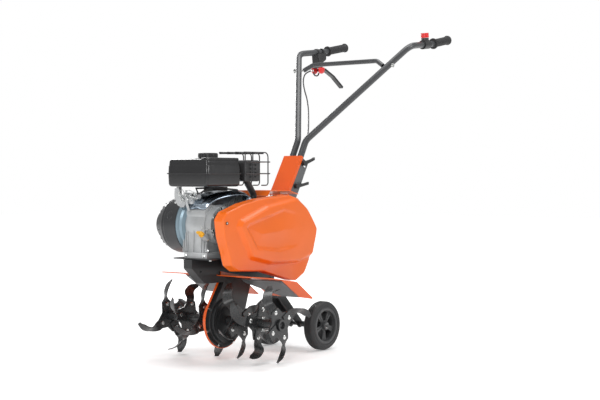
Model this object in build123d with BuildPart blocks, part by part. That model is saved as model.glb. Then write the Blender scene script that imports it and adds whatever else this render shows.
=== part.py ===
from build123d import *
import os
from math import asin, atan2, cos, degrees, hypot, pi, radians, sin, tan

# Walk-behind tiller with two transport wheels. Millimetres. +X is the belt side, -Y is the
# front of the machine, the handlebars reach out along +Y, and +Z is up. The tine axle runs
# along X through y = 0, and the tine tips and the tyres stand on z = 0.

# The model is drawn from the tine axle and written with its origin under the middle of the
# machine's length, on the ground.

# ---------------------------------------------------------------- driving dimensions
MID_LENGTH = 455.86   # from the tine axle to the middle of the length
CLEAR = 0.05          # radial clearance of a shaft in its bore
AXLE = (0, 140)       # tine axle, (y, z)
TIP_RADIUS = 140      # radius that the tine tips sweep
SPIDER_X = (77, 168, 260)        # the three tine stars of each side
SPIDER_PHASE = (28, 75, 28)      # angle of the first arm of each star
TIP_TRAIL = 28        # how far a tip trails its arm, degrees
BLADE_T = 4
WING = 43             # how far a blade is bent sideways
PLATE_T = 4
BOLT_CIRCLE = 50
SHAFT_R = 12.5
HUB_R = 17
HUB_START, HUB_END = 30, 272
SOCKET_R, SOCKET_DEPTH = 13, 12  # open socket in each outer hub end

INPUT = (125, 400)    # input shaft of the chain case, (y, z)
CASE_LOW_R, CASE_TOP_R = 98, 60
CASE_NECK, CASE_DISH = 16, 26    # half widths of the case, neck and round lower part

CRANK = (-85, 483)    # crankshaft, (y, z)
CRANK_PULLEY_R, DRIVEN_PULLEY_R = 32, 80
BELT_X, BELT_W = 113, 14
BELT_T = 7
TENSION_PIVOT = (-60, 538)
TENSION_ROLLER = (32, 534)
TENSION_ROLLER_R = 18

PLATE_Z = 370         # top of the engine plate
CHASSIS_X, SHEET = 16.3, 3
COVER_X0, COVER_X1 = 108, 154    # belt cover, from its rim to its flat face

WHEEL = (417.5, 92)   # wheel axle, (y, z)
WHEEL_R, WHEEL_W = 92, 44
WHEEL_X = 106         # inner face of a wheel
WHEEL_PIVOT = (246, 262)
WHEEL_AXLE_R = 7

TUBE_R, TUBE_WALL = 12.5, 2
HANDLE_PIVOT = (365, 617)
HANDLE_CLAMP = (411, 703)
LOWER_BEND = (19.5, 458, 792)
UPPER_CORNER = (276, 792, 1164)
GRIP_START = (266, 972, 1187)
GRIP_END = (260, 1095, 1211.5)
CROSS_JOINT = (722, 1086)    # where the crossbar is bolted to the tubes, (y, z)
HANDLE_SWING = 12     # handlebar height adjustment, degrees

os.makedirs("parts", exist_ok=True)


# ---------------------------------------------------------------- helpers
def save(piece, name):
    """Write a finished piece, with the origin moved to the middle of the machine's length."""
    placed = piece.part.moved(Location((0, -MID_LENGTH, 0)))
    placed.label = name
    export_step(placed, f"parts/{name}.step")


def plate(outline, x_start, thickness, corner=0):
    """Flat piece: an outline in (y, z), extruded along X."""
    with BuildPart() as blank:
        with BuildSketch(Plane.YZ.offset(x_start)) as profile:
            with BuildLine():
                Polyline(*outline, close=True)
            make_face()
            if corner:
                fillet(profile.vertices(), corner)
        extrude(amount=thickness)
    return blank.part


def strip(points, thickness):
    """Outline of a bent sheet: the polyline and its copy set off by the thickness."""
    normals = []
    for (y0, z0), (y1, z1) in zip(points, points[1:]):
        length = hypot(y1 - y0, z1 - z0)
        normals.append((-(z1 - z0) / length, (y1 - y0) / length))
    far_side = []
    for i, (y, z) in enumerate(points):
        before, after = normals[max(i - 1, 0)], normals[min(i, len(normals) - 1)]
        scale = thickness / (1 + before[0] * after[0] + before[1] * after[1])
        far_side.append((y + scale * (before[0] + after[0]), z + scale * (before[1] + after[1])))
    return list(points) + far_side[::-1]


def disc(centre, x_start, width, radius, bore=0):
    """Round piece about an axis along X."""
    with BuildPart() as blank:
        with BuildSketch(Plane.YZ.offset(x_start)):
            with Locations(centre):
                Circle(radius)
                if bore:
                    Circle(bore, mode=Mode.SUBTRACT)
        extrude(amount=width)
    return blank.part


def rod(start, end, radius):
    """Round bar between two points."""
    axis = Vector(*end) - Vector(*start)
    with BuildPart() as blank:
        with BuildSketch(Plane(origin=start, z_dir=axis)):
            Circle(radius)
        extrude(amount=axis.length)
    return blank.part


def bent_tube(points, radii, radius, bore=0):
    """Round bar or tube along straight runs joined by tangent arcs."""
    with BuildPart() as blank:
        with BuildLine() as path:
            FilletPolyline(*points, radius=radii)
        with BuildSketch(Plane(origin=path.line @ 0, z_dir=path.line % 0)):
            Circle(radius)
            if bore:
                Circle(bore, mode=Mode.SUBTRACT)
        sweep()
    return blank.part


def hull_band(big, big_r, small, small_r, x_start, width, grow=0, inner=None):
    """Flat belt-shaped piece round two circles, hollow when inner is given."""
    with BuildPart() as blank:
        with BuildSketch(Plane.YZ.offset(x_start)):
            add(hull_face(big, big_r + grow, small, small_r + grow))
            if inner is not None:
                add(hull_face(big, big_r + inner, small, small_r + inner), mode=Mode.SUBTRACT)
        extrude(amount=width)
    return blank.part


def hull_face(big, big_r, small, small_r):
    """Two circles and their outer tangents."""
    with BuildSketch() as face:
        with Locations(big):
            Circle(big_r)
        with Locations(small):
            Circle(small_r)
        make_hull()
    return face.sketch


def mirrored(part):
    return mirror(part, Plane.YZ)


def bolt(y, z, x_start, length, shank=4, head=7.5, head_t=5):
    """Hexagon bolt along X, its head at x_start, with a nut at the far end."""
    way = 1 if length > 0 else -1
    with BuildPart() as blank:
        with BuildSketch(Plane.YZ.offset(x_start)):
            with Locations((y, z)):
                RegularPolygon(head, 6)
        extrude(amount=-way * head_t)
        with BuildSketch(Plane.YZ.offset(x_start)):
            with Locations((y, z)):
                Circle(shank)
        extrude(amount=length)
    return blank.part


# ---------------------------------------------------------------- chassis
CHASSIS_SIDE = [
    (-185, 366), (-185, 335), (-120, 279), (158, 277), (205, 255),
    (228, 240), (266, 240), (266, 288), (238, 366),
]
ENGINE_BOLTS = [(-60, -135), (60, -135), (-60, 5), (60, 5)]      # (x, y)

with BuildPart() as chassis_frame:
    add(plate(CHASSIS_SIDE, CHASSIS_X, SHEET))
    add(plate(CHASSIS_SIDE, -CHASSIS_X - SHEET, SHEET))
    with BuildSketch(Plane.XY.offset(PLATE_Z - 4)):
        with Locations((10, -32)):
            Rectangle(176, 284)
        with Locations((0, 70)):
            Rectangle(2 * CHASSIS_X, 90, mode=Mode.SUBTRACT)
        with Locations(*ENGINE_BOLTS):
            Circle(4.4, mode=Mode.SUBTRACT)
    extrude(amount=4)
    nose = strip([(-60, 279), (-120, 279), (-185, 335), (-185, 366)], -SHEET)
    add(plate(nose, -CHASSIS_X, 2 * CHASSIS_X))
    for y, z in ((WHEEL_PIVOT), (205, 310), (-20, 350), (150, 350)):
        add(disc((y, z), -30, 60, 5 + CLEAR), mode=Mode.SUBTRACT)
    add(disc((-140, 322), -30, 60, 3.5), mode=Mode.SUBTRACT)
save(chassis_frame, "chassis_frame")

COLUMN_SIDE = [(170, 290), (222, 290), (352, 556), (322, 568), (195, 345)]
COLUMN_BOLTS = [(205, 310), (336, 548)]
with BuildPart() as rear_column:
    add(plate(COLUMN_SIDE, -16, 32, 6))
    with BuildSketch(Plane.YZ.offset(-13)):
        with BuildLine():
            Polyline(*COLUMN_SIDE, close=True)
        make_face()
        offset(amount=-3)
    extrude(amount=26, mode=Mode.SUBTRACT)
    for place in COLUMN_BOLTS:
        add(disc(place, -20, 40, 5 + CLEAR), mode=Mode.SUBTRACT)
save(rear_column, "rear_column")

HOOD_PROFILE = [(306, 590), (250, 603), (140, 603), (126, 584)]
with BuildPart() as column_cover:
    add(plate(strip(HOOD_PROFILE, 2.5), -52, 154))
    add(plate(HOOD_PROFILE + [(146, 560), (220, 540), (296, 562)], -52, 2.5))
save(column_cover, "column_cover")

# ---------------------------------------------------------------- fenders
FENDER_PROFILE = [(-105, 311), (0, 301), (134, 280), (226, 217)]
FENDER_IN, FENDER_OUT = 22, 230
GUARD_TOP, GUARD_LOW = (54, 287), (152, 225)

with BuildPart() as fender_right:
    add(plate(strip(FENDER_PROFILE, -3), FENDER_IN, FENDER_OUT - FENDER_IN))
    with BuildSketch():
        with BuildLine():
            Polyline(
                (FENDER_IN, -60), (200, -105), (FENDER_OUT, 60), (FENDER_OUT, 230),
                (FENDER_IN, 230), close=True,
            )
        make_face()
    extrude(amount=400, mode=Mode.INTERSECT)
    skirt = [(48, 291), (134, 278), (222, 217), (226, 212), (150, 224)]
    add(plate(skirt, FENDER_OUT - 3, 3))
    add(plate([(-40, 303), (134, 279), (134, 286), (-40, 318)], FENDER_IN, 3))
save(fender_right, "fender_right")

with BuildPart() as fender_left:
    add(mirrored(fender_right.part))
save(fender_left, "fender_left")

with BuildPart() as guard:
    add(plate(strip([GUARD_TOP, GUARD_LOW], -2.5), 40, FENDER_OUT - 3.4 - 40))
    with BuildSketch():
        with BuildLine():
            Polyline((120, 40), (226.6, 40), (226.6, 160), (160, 160), (40, 75), (40, 40), close=True)
        make_face()
    extrude(amount=400, mode=Mode.INTERSECT)
with BuildPart() as fender_guards:
    add(guard.part)
    add(mirrored(guard.part))
save(fender_guards, "fender_guards")

# ---------------------------------------------------------------- chain case
RIM = 10
CASE = (AXLE, CASE_LOW_R, INPUT, CASE_TOP_R)


def case_half(side):
    """Pressed half shell: rim flange, shallow neck and a deep dish round the axle."""
    with BuildPart() as half:
        start = 0 if side > 0 else -3
        add(hull_band(*CASE, start, 3))
        start = 0 if side > 0 else -CASE_NECK
        add(hull_band(*CASE, start, CASE_NECK, grow=-RIM))
        start = 0 if side > 0 else -CASE_DISH
        add(disc(AXLE, start, CASE_DISH, CASE_LOW_R - RIM - 8))
        start = 0 if side > 0 else 3 - CASE_NECK
        add(hull_band(*CASE, start, CASE_NECK - 3, grow=-RIM - 3), mode=Mode.SUBTRACT)
        start = 0 if side > 0 else 3 - CASE_DISH
        add(disc(AXLE, start, CASE_DISH - 3, CASE_LOW_R - RIM - 11), mode=Mode.SUBTRACT)
        start = CASE_DISH - 12 if side > 0 else -CASE_DISH
        add(disc(AXLE, start, 12, 26))
        start = 6 if side > 0 else -CASE_NECK
        add(disc(INPUT, start, 10, 24))
        add(disc(AXLE, -40, 80, SHAFT_R + CLEAR), mode=Mode.SUBTRACT)
        add(disc(INPUT, -12.5, 25, 10 + CLEAR), mode=Mode.SUBTRACT)
        for y, z in CASE_BOLTS:
            add(disc((y, z), -5, 10, 3 + CLEAR), mode=Mode.SUBTRACT)
    return half.part


CASE_AXIS = degrees(atan2(INPUT[1] - AXLE[1], INPUT[0] - AXLE[0]))
CASE_LEAN = degrees(asin((CASE_LOW_R - CASE_TOP_R) / hypot(INPUT[0] - AXLE[0], INPUT[1] - AXLE[1])))


def rim_point(share, angle):
    """Point on the bolt line of the rim, share of the way from the axle to the input shaft."""
    radius = CASE_LOW_R + share * (CASE_TOP_R - CASE_LOW_R) - 5
    return (
        AXLE[0] + share * (INPUT[0] - AXLE[0]) + radius * cos(radians(angle)),
        AXLE[1] + share * (INPUT[1] - AXLE[1]) + radius * sin(radians(angle)),
    )


CASE_BOLTS = (
    [rim_point(0, angle) for angle in (150, 200, 250, 300, 335)]
    + [rim_point(0.6, CASE_AXIS + 90 - CASE_LEAN), rim_point(0.6, CASE_AXIS - 90 + CASE_LEAN)]
    + [rim_point(1, angle) for angle in (25, 100)]
)

with BuildPart() as chain_case_left:
    add(case_half(-1))
save(chain_case_left, "chain_case_left")

with BuildPart() as chain_case_right:
    add(case_half(1))
    add(disc(INPUT, CASE_NECK, 84, 20))
    add(disc(INPUT, -1, 110, 10 + CLEAR), mode=Mode.SUBTRACT)
    for radius in (52, 70):
        add(disc(AXLE, CASE_DISH, 1.5, radius + 2, radius))
save(chain_case_right, "chain_case_right")

SPROCKET_R, PINION_R = 56, 15
with BuildPart() as roller_chain:
    add(hull_band(AXLE, SPROCKET_R, INPUT, PINION_R, -4, 8, grow=6, inner=0.4))
save(roller_chain, "roller_chain")


def toothed(centre, x_start, width, radius, teeth, bore):
    """Chain wheel with its tooth gaps cut round the rim."""
    with BuildPart() as wheel:
        add(disc(centre, x_start, width, radius, bore))
        with BuildSketch(Plane.YZ.offset(x_start)):
            with Locations(centre):
                with PolarLocations(radius + 1, teeth):
                    Circle(2.6)
        extrude(amount=width, mode=Mode.SUBTRACT)
    return wheel.part


# ---------------------------------------------------------------- tine rotor
with BuildPart() as tine_shaft:
    half_length = HUB_END - SOCKET_DEPTH
    add(disc(AXLE, -half_length, 2 * half_length, SHAFT_R))
    for x in (-185, 185):
        with Locations((x, AXLE[0], AXLE[1])):
            Cylinder(4 + CLEAR, 60, mode=Mode.SUBTRACT)
save(tine_shaft, "tine_shaft")

with BuildPart() as tine_sprocket:
    add(toothed(AXLE, -3.5, 7, SPROCKET_R, 34, SHAFT_R + CLEAR))
    add(disc(AXLE, 3.5, 10, 20, SHAFT_R + CLEAR))
save(tine_sprocket, "tine_sprocket")


def polar(radius, angle):
    return (AXLE[0] + radius * cos(radians(angle)), AXLE[1] + radius * sin(radians(angle)))


def star(x_mid, phase):
    """Star plate: four lobes under the arms and shallow bays between them."""
    outline = []
    for quarter in range(4):
        a = phase + 90 * quarter
        outline += [polar(64, a - 16), polar(64, a + 16), polar(44, a + 45)]
    with BuildPart() as blank:
        with BuildSketch(Plane.YZ.offset(x_mid - PLATE_T / 2)) as face:
            with BuildLine():
                Polyline(*outline, close=True)
            make_face()
            fillet(face.vertices(), 5)
            with Locations(AXLE):
                Circle(HUB_R, mode=Mode.SUBTRACT)
            with Locations(*[polar(BOLT_CIRCLE, phase + 90 * q) for q in range(4)]):
                Circle(5 + CLEAR, mode=Mode.SUBTRACT)
        extrude(amount=PLATE_T)
    return blank.part


def blade(x_mid, angle, way):
    """One tine: a flat arm on the star plate, then a wing bent sideways along a trailing arc."""
    face_x = x_mid + way * PLATE_T / 2
    arm_x = face_x if way > 0 else face_x - BLADE_T
    arm = [
        polar(25, angle + 40), polar(40, angle + 27), polar(84, angle + 10),
        polar(108, angle - 5), polar(100, angle - 16), polar(62, angle - 18), polar(34, angle - 33),
    ]
    root, bend = polar(82, angle + 9), polar(TIP_RADIUS - 22, angle - 8)
    tip = polar(TIP_RADIUS - 2, angle - TIP_TRAIL)
    with BuildPart() as wing:
        with BuildSketch(Plane.YZ.offset(face_x if way > 0 else face_x - WING)):
            with BuildLine():
                edge = ThreePointArc(root, bend, tip)
            trace(edge, line_width=BLADE_T)
        extrude(amount=WING)
        chord = (Vector(0, *tip) - Vector(0, *root))
        outer = Plane(origin=(face_x, *root), x_dir=(way, 0, 0), z_dir=Vector(way, 0, 0).cross(chord))
        with BuildSketch(outer):
            with BuildLine():
                Polyline(
                    (0, -10), (WING - 14, -10), (WING, 22), (WING, chord.length - 12),
                    (WING - 10, chord.length + 12), (8, chord.length + 12),
                    (8, chord.length - 6), (0, 40), close=True,
                )
            make_face()
        extrude(amount=90, both=True, mode=Mode.INTERSECT)
    with BuildPart() as tine:
        with BuildSketch(Plane.YZ.offset(arm_x)):
            with BuildLine():
                Polyline(*arm, close=True)
            make_face()
            with Locations(polar(BOLT_CIRCLE, angle)):
                Circle(5 + CLEAR, mode=Mode.SUBTRACT)
        extrude(amount=BLADE_T)
        add(disc(AXLE, -400, 800, TIP_RADIUS + 3), mode=Mode.INTERSECT)
        add(wing.part)
        add(disc(AXLE, -400, 800, TIP_RADIUS), mode=Mode.INTERSECT)
    return tine.part


def rivet(x_mid, angle, way):
    y, z = polar(BOLT_CIRCLE, angle)
    low = x_mid - PLATE_T / 2 - (BLADE_T if way < 0 else 0)
    with BuildPart() as pin:
        add(disc((y, z), low, PLATE_T + BLADE_T, 5))
        add(disc((y, z), low - 3, 3, 8))
        add(disc((y, z), low + PLATE_T + BLADE_T, 3, 8))
    return pin.part


def side_tines(side):
    """Twelve blades of one side, four on each star, bent out and in by turns."""
    with BuildPart() as tines:
        for x, phase in zip(SPIDER_X, SPIDER_PHASE):
            for quarter in range(4):
                way = side * (1 if quarter % 2 == 0 else -1)
                add(blade(side * x, phase + 90 * quarter, way))
    return tines.part


def side_hub(side):
    """Hub tube that slides on the shaft, with its stars and end ring welded on."""
    with BuildPart() as hub:
        start = HUB_START if side > 0 else -HUB_END
        add(disc(AXLE, start, HUB_END - HUB_START, HUB_R))
        for x, phase in zip(SPIDER_X, SPIDER_PHASE):
            add(star(side * x, phase))
        add(disc(AXLE, HUB_END - 6 if side > 0 else -HUB_END, 6, 20.5))
        add(disc(AXLE, -400, 800, SHAFT_R + CLEAR), mode=Mode.SUBTRACT)
        mouth = HUB_END - SOCKET_DEPTH if side > 0 else -HUB_END
        add(disc(AXLE, mouth, SOCKET_DEPTH, SOCKET_R), mode=Mode.SUBTRACT)
        with Locations((side * 185, AXLE[0], AXLE[1])):
            Cylinder(4 + CLEAR, 60, mode=Mode.SUBTRACT)
    return hub.part


with BuildPart() as tine_hub_right:
    add(side_hub(1))
save(tine_hub_right, "tine_hub_right")

with BuildPart() as tine_hub_left:
    add(side_hub(-1))
save(tine_hub_left, "tine_hub_left")

with BuildPart() as tine_blades_right:
    add(side_tines(1))
save(tine_blades_right, "tine_blades_right")

with BuildPart() as tine_blades_left:
    add(side_tines(-1))
save(tine_blades_left, "tine_blades_left")

with BuildPart() as tine_fasteners:
    for side in (-1, 1):
        for x, phase in zip(SPIDER_X, SPIDER_PHASE):
            for quarter in range(4):
                way = side * (1 if quarter % 2 == 0 else -1)
                add(rivet(side * x, phase + 90 * quarter, way))
        with Locations((side * 185, AXLE[0], AXLE[1])):
            Cylinder(4, 50)
        with Locations((side * 185, AXLE[0], AXLE[1] + 26.5)):
            Cylinder(6.5, 3)
save(tine_fasteners, "tine_fasteners")

# ---------------------------------------------------------------- belt drive
with BuildPart() as input_shaft:
    add(disc(INPUT, -12, BELT_X + BELT_W + 16, 10))
    add(toothed(INPUT, -3.5, 7, PINION_R, 10, 0))
save(input_shaft, "input_shaft")


def v_pulley(centre, radius, bore, web=None):
    """Belt pulley with two flanges, its groove at the running radius."""
    with BuildPart() as pulley:
        add(disc(centre, BELT_X, BELT_W, radius, bore))
        add(disc(centre, BELT_X - 3, 2.5, radius + 9, bore))
        add(disc(centre, BELT_X - 0.5, 0.5, radius, bore))
        add(disc(centre, BELT_X + BELT_W, 0.5, radius, bore))
        add(disc(centre, BELT_X + BELT_W + 0.5, 2.5, radius + 9, bore))
        if web:
            with BuildSketch(Plane.YZ.offset(BELT_X - 5)):
                with Locations(centre):
                    with PolarLocations(radius * 0.6, web):
                        Circle(radius * 0.19)
            extrude(amount=30, mode=Mode.SUBTRACT)
    return pulley.part


with BuildPart() as driven_pulley:
    add(v_pulley(INPUT, DRIVEN_PULLEY_R, 10 + CLEAR, web=6))
save(driven_pulley, "driven_pulley")

with BuildPart() as crank_pulley:
    add(v_pulley(CRANK, CRANK_PULLEY_R, 10 + CLEAR))
save(crank_pulley, "crank_pulley")

with BuildPart() as drive_belt:
    add(hull_band(INPUT, DRIVEN_PULLEY_R, CRANK, CRANK_PULLEY_R, BELT_X, BELT_W, grow=BELT_T, inner=0.4))
save(drive_belt, "drive_belt")

with BuildPart() as tensioner_arm:
    add(disc(TENSION_PIVOT, BELT_X - 4, 3, 11))
    add(hull_band(TENSION_PIVOT, 9, TENSION_ROLLER, 8, BELT_X - 4, 3))
    add(disc(TENSION_PIVOT, -400, 800, 5 + CLEAR), mode=Mode.SUBTRACT)
    add(disc(TENSION_ROLLER, BELT_X - 1, BELT_W + 1, 5))
save(tensioner_arm, "tensioner_arm")

with BuildPart() as tensioner_pulley:
    add(disc(TENSION_ROLLER, BELT_X + 0.5, BELT_W - 2, TENSION_ROLLER_R - 3, 5 + CLEAR))
    for x in (BELT_X + 0.5, BELT_X + BELT_W - 3.5):
        add(disc(TENSION_ROLLER, x, 2, TENSION_ROLLER_R, 5 + CLEAR))
save(tensioner_pulley, "tensioner_pulley")

COVER_OUTLINE = [
    (-170, 506), (-148, 532), (-60, 559), (30, 575), (200, 588), (250, 576), (292, 534),
    (336, 488), (348, 462), (343, 425), (314, 341), (289, 299), (246, 271), (212, 277),
    (60, 315), (-88, 324), (-124, 346), (-143, 400), (-160, 445),
]
PANEL_OUTLINE = [(-92, 478), (-74, 498), (226, 560), (290, 462), (232, 350), (80, 345), (-30, 370)]


def cover_face(shrink=0):
    with BuildSketch() as face:
        with BuildLine():
            Polyline(*COVER_OUTLINE, close=True)
        make_face()
        fillet(face.vertices(), 7)
        if shrink:
            offset(amount=-shrink)
    return face.sketch


CABLE_GLAND = (262, 470)
with BuildPart() as belt_backplate:
    with BuildSketch(Plane.YZ.offset(COVER_X0 - 3)):
        add(cover_face(0.5))
    extrude(amount=2.5)
    add(disc(CRANK, 90, 30, 16), mode=Mode.SUBTRACT)
    add(disc(INPUT, 90, 30, 22), mode=Mode.SUBTRACT)
    for angle in (30, 150, 210, 330):
        place = (CRANK[0] + 57 * cos(radians(angle)), CRANK[1] + 57 * sin(radians(angle)))
        add(disc(place, 81.05, COVER_X0 - 3 - 81.05, 7))
    add(plate([(170, 320), (222, 320), (222, 368), (170, 368)], CHASSIS_X + SHEET, 105 - CHASSIS_X - SHEET))
    add(plate([(173, 323), (219, 323), (219, 365), (173, 365)], CHASSIS_X, 100), mode=Mode.SUBTRACT)
    add(disc(TENSION_PIVOT, COVER_X0 - 1, 7, 5))
    add(disc(CABLE_GLAND, 97, 8, 7))
    add(disc(CABLE_GLAND, 90, 30, 3), mode=Mode.SUBTRACT)
save(belt_backplate, "belt_backplate")

with BuildPart() as belt_cover:
    with BuildSketch(Plane.YZ.offset(COVER_X0)):
        add(cover_face())
    extrude(amount=COVER_X1 - COVER_X0, taper=4)
    fillet(belt_cover.faces().sort_by(Axis.X)[-1].edges(), 5)
    with BuildSketch(Plane.YZ.offset(COVER_X1 - 1)) as raised:
        with BuildLine():
            Polyline(*PANEL_OUTLINE, close=True)
        make_face()
        fillet(raised.vertices(), 12)
    extrude(amount=13, taper=35)
    with BuildSketch(Plane.YZ.offset(COVER_X0)):
        add(cover_face(3))
    extrude(amount=COVER_X1 - COVER_X0 - 3, taper=4, mode=Mode.SUBTRACT)
    add(disc((-150, 494), 100, 100, 3), mode=Mode.SUBTRACT)
save(belt_cover, "belt_cover")

# ---------------------------------------------------------------- engine
CYLINDER_TILT = 25
CYLINDER_DIR = (cos(radians(CYLINDER_TILT)), sin(radians(CYLINDER_TILT)))
FLYWHEEL_R = 82


def filler(distance):
    """Point on the axis of the oil filler, measured outward from its mouth."""
    return (56, -173.2 - 0.8437 * distance, 452.7 + 0.5369 * distance)


def along(distance, across=0):
    """Point in the cylinder's own (y, z) axes, measured from the crankshaft."""
    return (
        CRANK[0] + distance * CYLINDER_DIR[0] - across * CYLINDER_DIR[1],
        CRANK[1] + distance * CYLINDER_DIR[1] + across * CYLINDER_DIR[0],
    )


def tilted_box(near, far, half, x_half, x_mid=-4):
    outline = [along(near, -half), along(far, -half), along(far, half), along(near, half)]
    return plate(outline, x_mid - x_half, 2 * x_half)


with BuildPart() as crankcase:
    add(disc(CRANK, -55, 105, 70))
    add(plate([(-152, 388), (-10, 388), (-15, 483), (-150, 483)], -55, 105))
    add(plate([(-160, PLATE_Z), (18, PLATE_Z), (18, 390), (-160, 390)], -39, 106))
    add(disc((-112, 520), -50, 96, 36))
    add(tilted_box(50, 70, 46, 44))
    for x in (-40, -4, 32):
        add(plate([(-158, 388), (-150, 388), (-148, 470), (-153, 470)], x, 4))
    add(disc(CRANK, -50, 100, 58), mode=Mode.SUBTRACT)
    add(disc(CRANK, -60, 20, 12.5 + CLEAR), mode=Mode.SUBTRACT)
    add(tilted_box(20, 80, 30, 30), mode=Mode.SUBTRACT)
    add(rod(filler(-27), filler(-1.4), 11))
    add(rod(filler(-39), filler(0), 6 + CLEAR), mode=Mode.SUBTRACT)
    add(plate([(-150, 500), (-136, 500), (-136, 583), (-150, 583)], -55, 5))
    add(plate([(-150, 575), (-136, 575), (-136, 583), (-150, 583)], -86, 36))
    add(plate([(-150, 575), (-136, 575), (-136, 617.5), (-150, 617.5)], -86, 12))
    add(disc(CRANK, -58, 3, 92, 72))
save(crankcase, "crankcase")

with BuildPart() as crankcase_cover:
    add(disc(CRANK, 50.05, 26, 66))
    add(disc(CRANK, 74, 7, 48))
    add(disc(CRANK, 50.05, 18, 54), mode=Mode.SUBTRACT)
    add(disc(CRANK, 40, 60, 10 + CLEAR), mode=Mode.SUBTRACT)
    for angle in range(30, 390, 60):
        place = (CRANK[0] + 57 * cos(radians(angle)), CRANK[1] + 57 * sin(radians(angle)))
        add(disc(place, 74, 7, 6))
save(crankcase_cover, "crankcase_cover")

with BuildPart() as cylinder:
    add(tilted_box(70.1, 150, 32, 32))
    for i in range(8):
        add(tilted_box(74 + 9.5 * i, 77 + 9.5 * i, 42, 42))
    add(tilted_box(150, 172, 42, 42))
    add(rod((-4, *along(50)), (-4, *along(140)), 27), mode=Mode.SUBTRACT)
    add(rod((20, *along(172)), (20, *along(196)), 7))
save(cylinder, "cylinder")

with BuildPart() as crankshaft:
    add(disc(CRANK, -115, 95, 12.5))
    add(disc(CRANK, -36, 12, 48))
    add(disc(CRANK, 12, 12, 48))
    add(disc((CRANK[0] + 26, CRANK[1]), -25, 38, 15))
    add(disc(CRANK, 23, BELT_X + BELT_W + 4 - 23, 10))
    add(disc(CRANK, -108, 40, FLYWHEEL_R, 12))
    add(disc(CRANK, -109, 26, FLYWHEEL_R - 12, 20), mode=Mode.SUBTRACT)
save(crankshaft, "crankshaft")

with BuildPart() as fan_housing:
    add(disc(CRANK, -120, 60, 101))
    fillet(fan_housing.faces().sort_by(Axis.X)[0].edges(), 6)
    add(disc(CRANK, -118, 54, 97), mode=Mode.SUBTRACT)
    add(disc(CRANK, -130, 100, 84), mode=Mode.SUBTRACT)
save(fan_housing, "fan_housing")

with BuildPart() as recoil_cover:
    with BuildSketch(Plane.XZ) as half:
        with BuildLine():
            Polyline(
                (-120.3, 90), (-120.3, 96), (-130, 97), (-158, 84), (-178, 62), (-196, 54),
                (-199, 50), (-199, 0), (-196, 0), (-196, 46), (-176, 56), (-156, 78), (-130, 90),
                close=True,
            )
        make_face()
    revolve(axis=Axis.X)
    with BuildSketch(Plane.YZ.offset(-210)):
        with GridLocations(13, 13, 5, 5):
            Circle(4)
    extrude(amount=20, mode=Mode.SUBTRACT)
    with BuildSketch(Plane.YZ.offset(-185)):
        with PolarLocations(70, 12):
            SlotOverall(22, 6, rotation=0)
    extrude(amount=50, mode=Mode.SUBTRACT)
    add(rod((-150, 50, 50), (-150, 66, 66), 12))
recoil_cover.part.locate(Location((0, CRANK[0], CRANK[1])))
save(recoil_cover, "recoil_cover")

PULL_DIR = (cos(radians(45)), sin(radians(45)))


def pull(distance, x=-150, across=0):
    """Point along the starter's pull direction, measured from the crankshaft."""
    return (
        x,
        CRANK[0] + distance * PULL_DIR[0] - across * PULL_DIR[1],
        CRANK[1] + distance * PULL_DIR[1] + across * PULL_DIR[0],
    )


with BuildPart() as recoil_handle:
    add(rod(pull(94.2), pull(104), 7))
    add(bent_tube([pull(104, across=-30), pull(112), pull(104, across=30)], 30, 8))
save(recoil_handle, "recoil_handle")

with BuildPart() as carburetor:
    with Locations((-24, -140, 584)):
        Box(44, 34, 26)
    with Locations((-24, -140, 566)):
        Cylinder(15, 16)
    add(rod((-2.2, -140, 584), (14, -140, 584), 9))
    add(rod((-24, -157, 590), (-24, -166, 590), 6))
save(carburetor, "carburetor")

with BuildPart() as air_filter:
    with Locations((-80, 50, 602)):
        Box(58, 78, 28)
    fillet(air_filter.edges().filter_by(Axis.Z), 10)
save(air_filter, "air_filter")

with BuildPart() as dipstick:
    add(rod(filler(0), filler(5.7), 10))
    add(rod(filler(-33), filler(0.4), 6))
    with BuildSketch(Plane(origin=filler(5.7), x_dir=(1, 0, 0), z_dir=(0, -0.8437, 0.5369))):
        SlotOverall(26, 8)
    extrude(amount=13)
save(dipstick, "dipstick")

with BuildPart() as cylinder_shroud:
    cowl = [(68, 582), (52, 600), (-40, 600), (-92, 592), (-112, 562)]
    add(plate(strip(cowl, 2), -50, 118))
    add(plate([(68, 582), (52, 600), (-40, 600), (-60, 560), (50, 530)], 66, 2))
save(cylinder_shroud, "cylinder_shroud")

# ---------------------------------------------------------------- fuel tank
TANK_X, TANK_Y, TANK_Z = (-111, 84), (-178, 9), (618, 714)
SEAM_Z = 664
CAP = (0, -80)


def tank_body(grow, low, high, corner):
    with BuildPart() as body:
        with BuildSketch(Plane.XY.offset(low)):
            with Locations((sum(TANK_X) / 2, sum(TANK_Y) / 2)):
                RectangleRounded(
                    TANK_X[1] - TANK_X[0] - 8 + 2 * grow, TANK_Y[1] - TANK_Y[0] - 8 + 2 * grow, corner
                )
        extrude(amount=high - low)
    return body.part


with BuildPart() as fuel_tank:
    add(tank_body(0, TANK_Z[0], TANK_Z[1], 10))
    fillet(fuel_tank.faces().sort_by(Axis.Z)[-1].edges(), 7)
    fillet(fuel_tank.faces().sort_by(Axis.Z)[0].edges(), 7)
    add(tank_body(4, SEAM_Z - 1.5, SEAM_Z + 1.5, 12))
    add(tank_body(-3, TANK_Z[0] + 3, TANK_Z[1] - 3, 7), mode=Mode.SUBTRACT)
    with BuildSketch(Plane.XY.offset(TANK_Z[1] - 4)):
        with Locations(CAP):
            Circle(27)
    extrude(amount=18)
    with BuildSketch(Plane.XY.offset(TANK_Z[1])):
        with Locations(CAP):
            Circle(44)
            Circle(26, mode=Mode.SUBTRACT)
    extrude(amount=3)
    with BuildSketch(Plane.XY.offset(TANK_Z[1] - 8)):
        with Locations(CAP):
            Circle(23)
    extrude(amount=40, mode=Mode.SUBTRACT)
save(fuel_tank, "fuel_tank")

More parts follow.
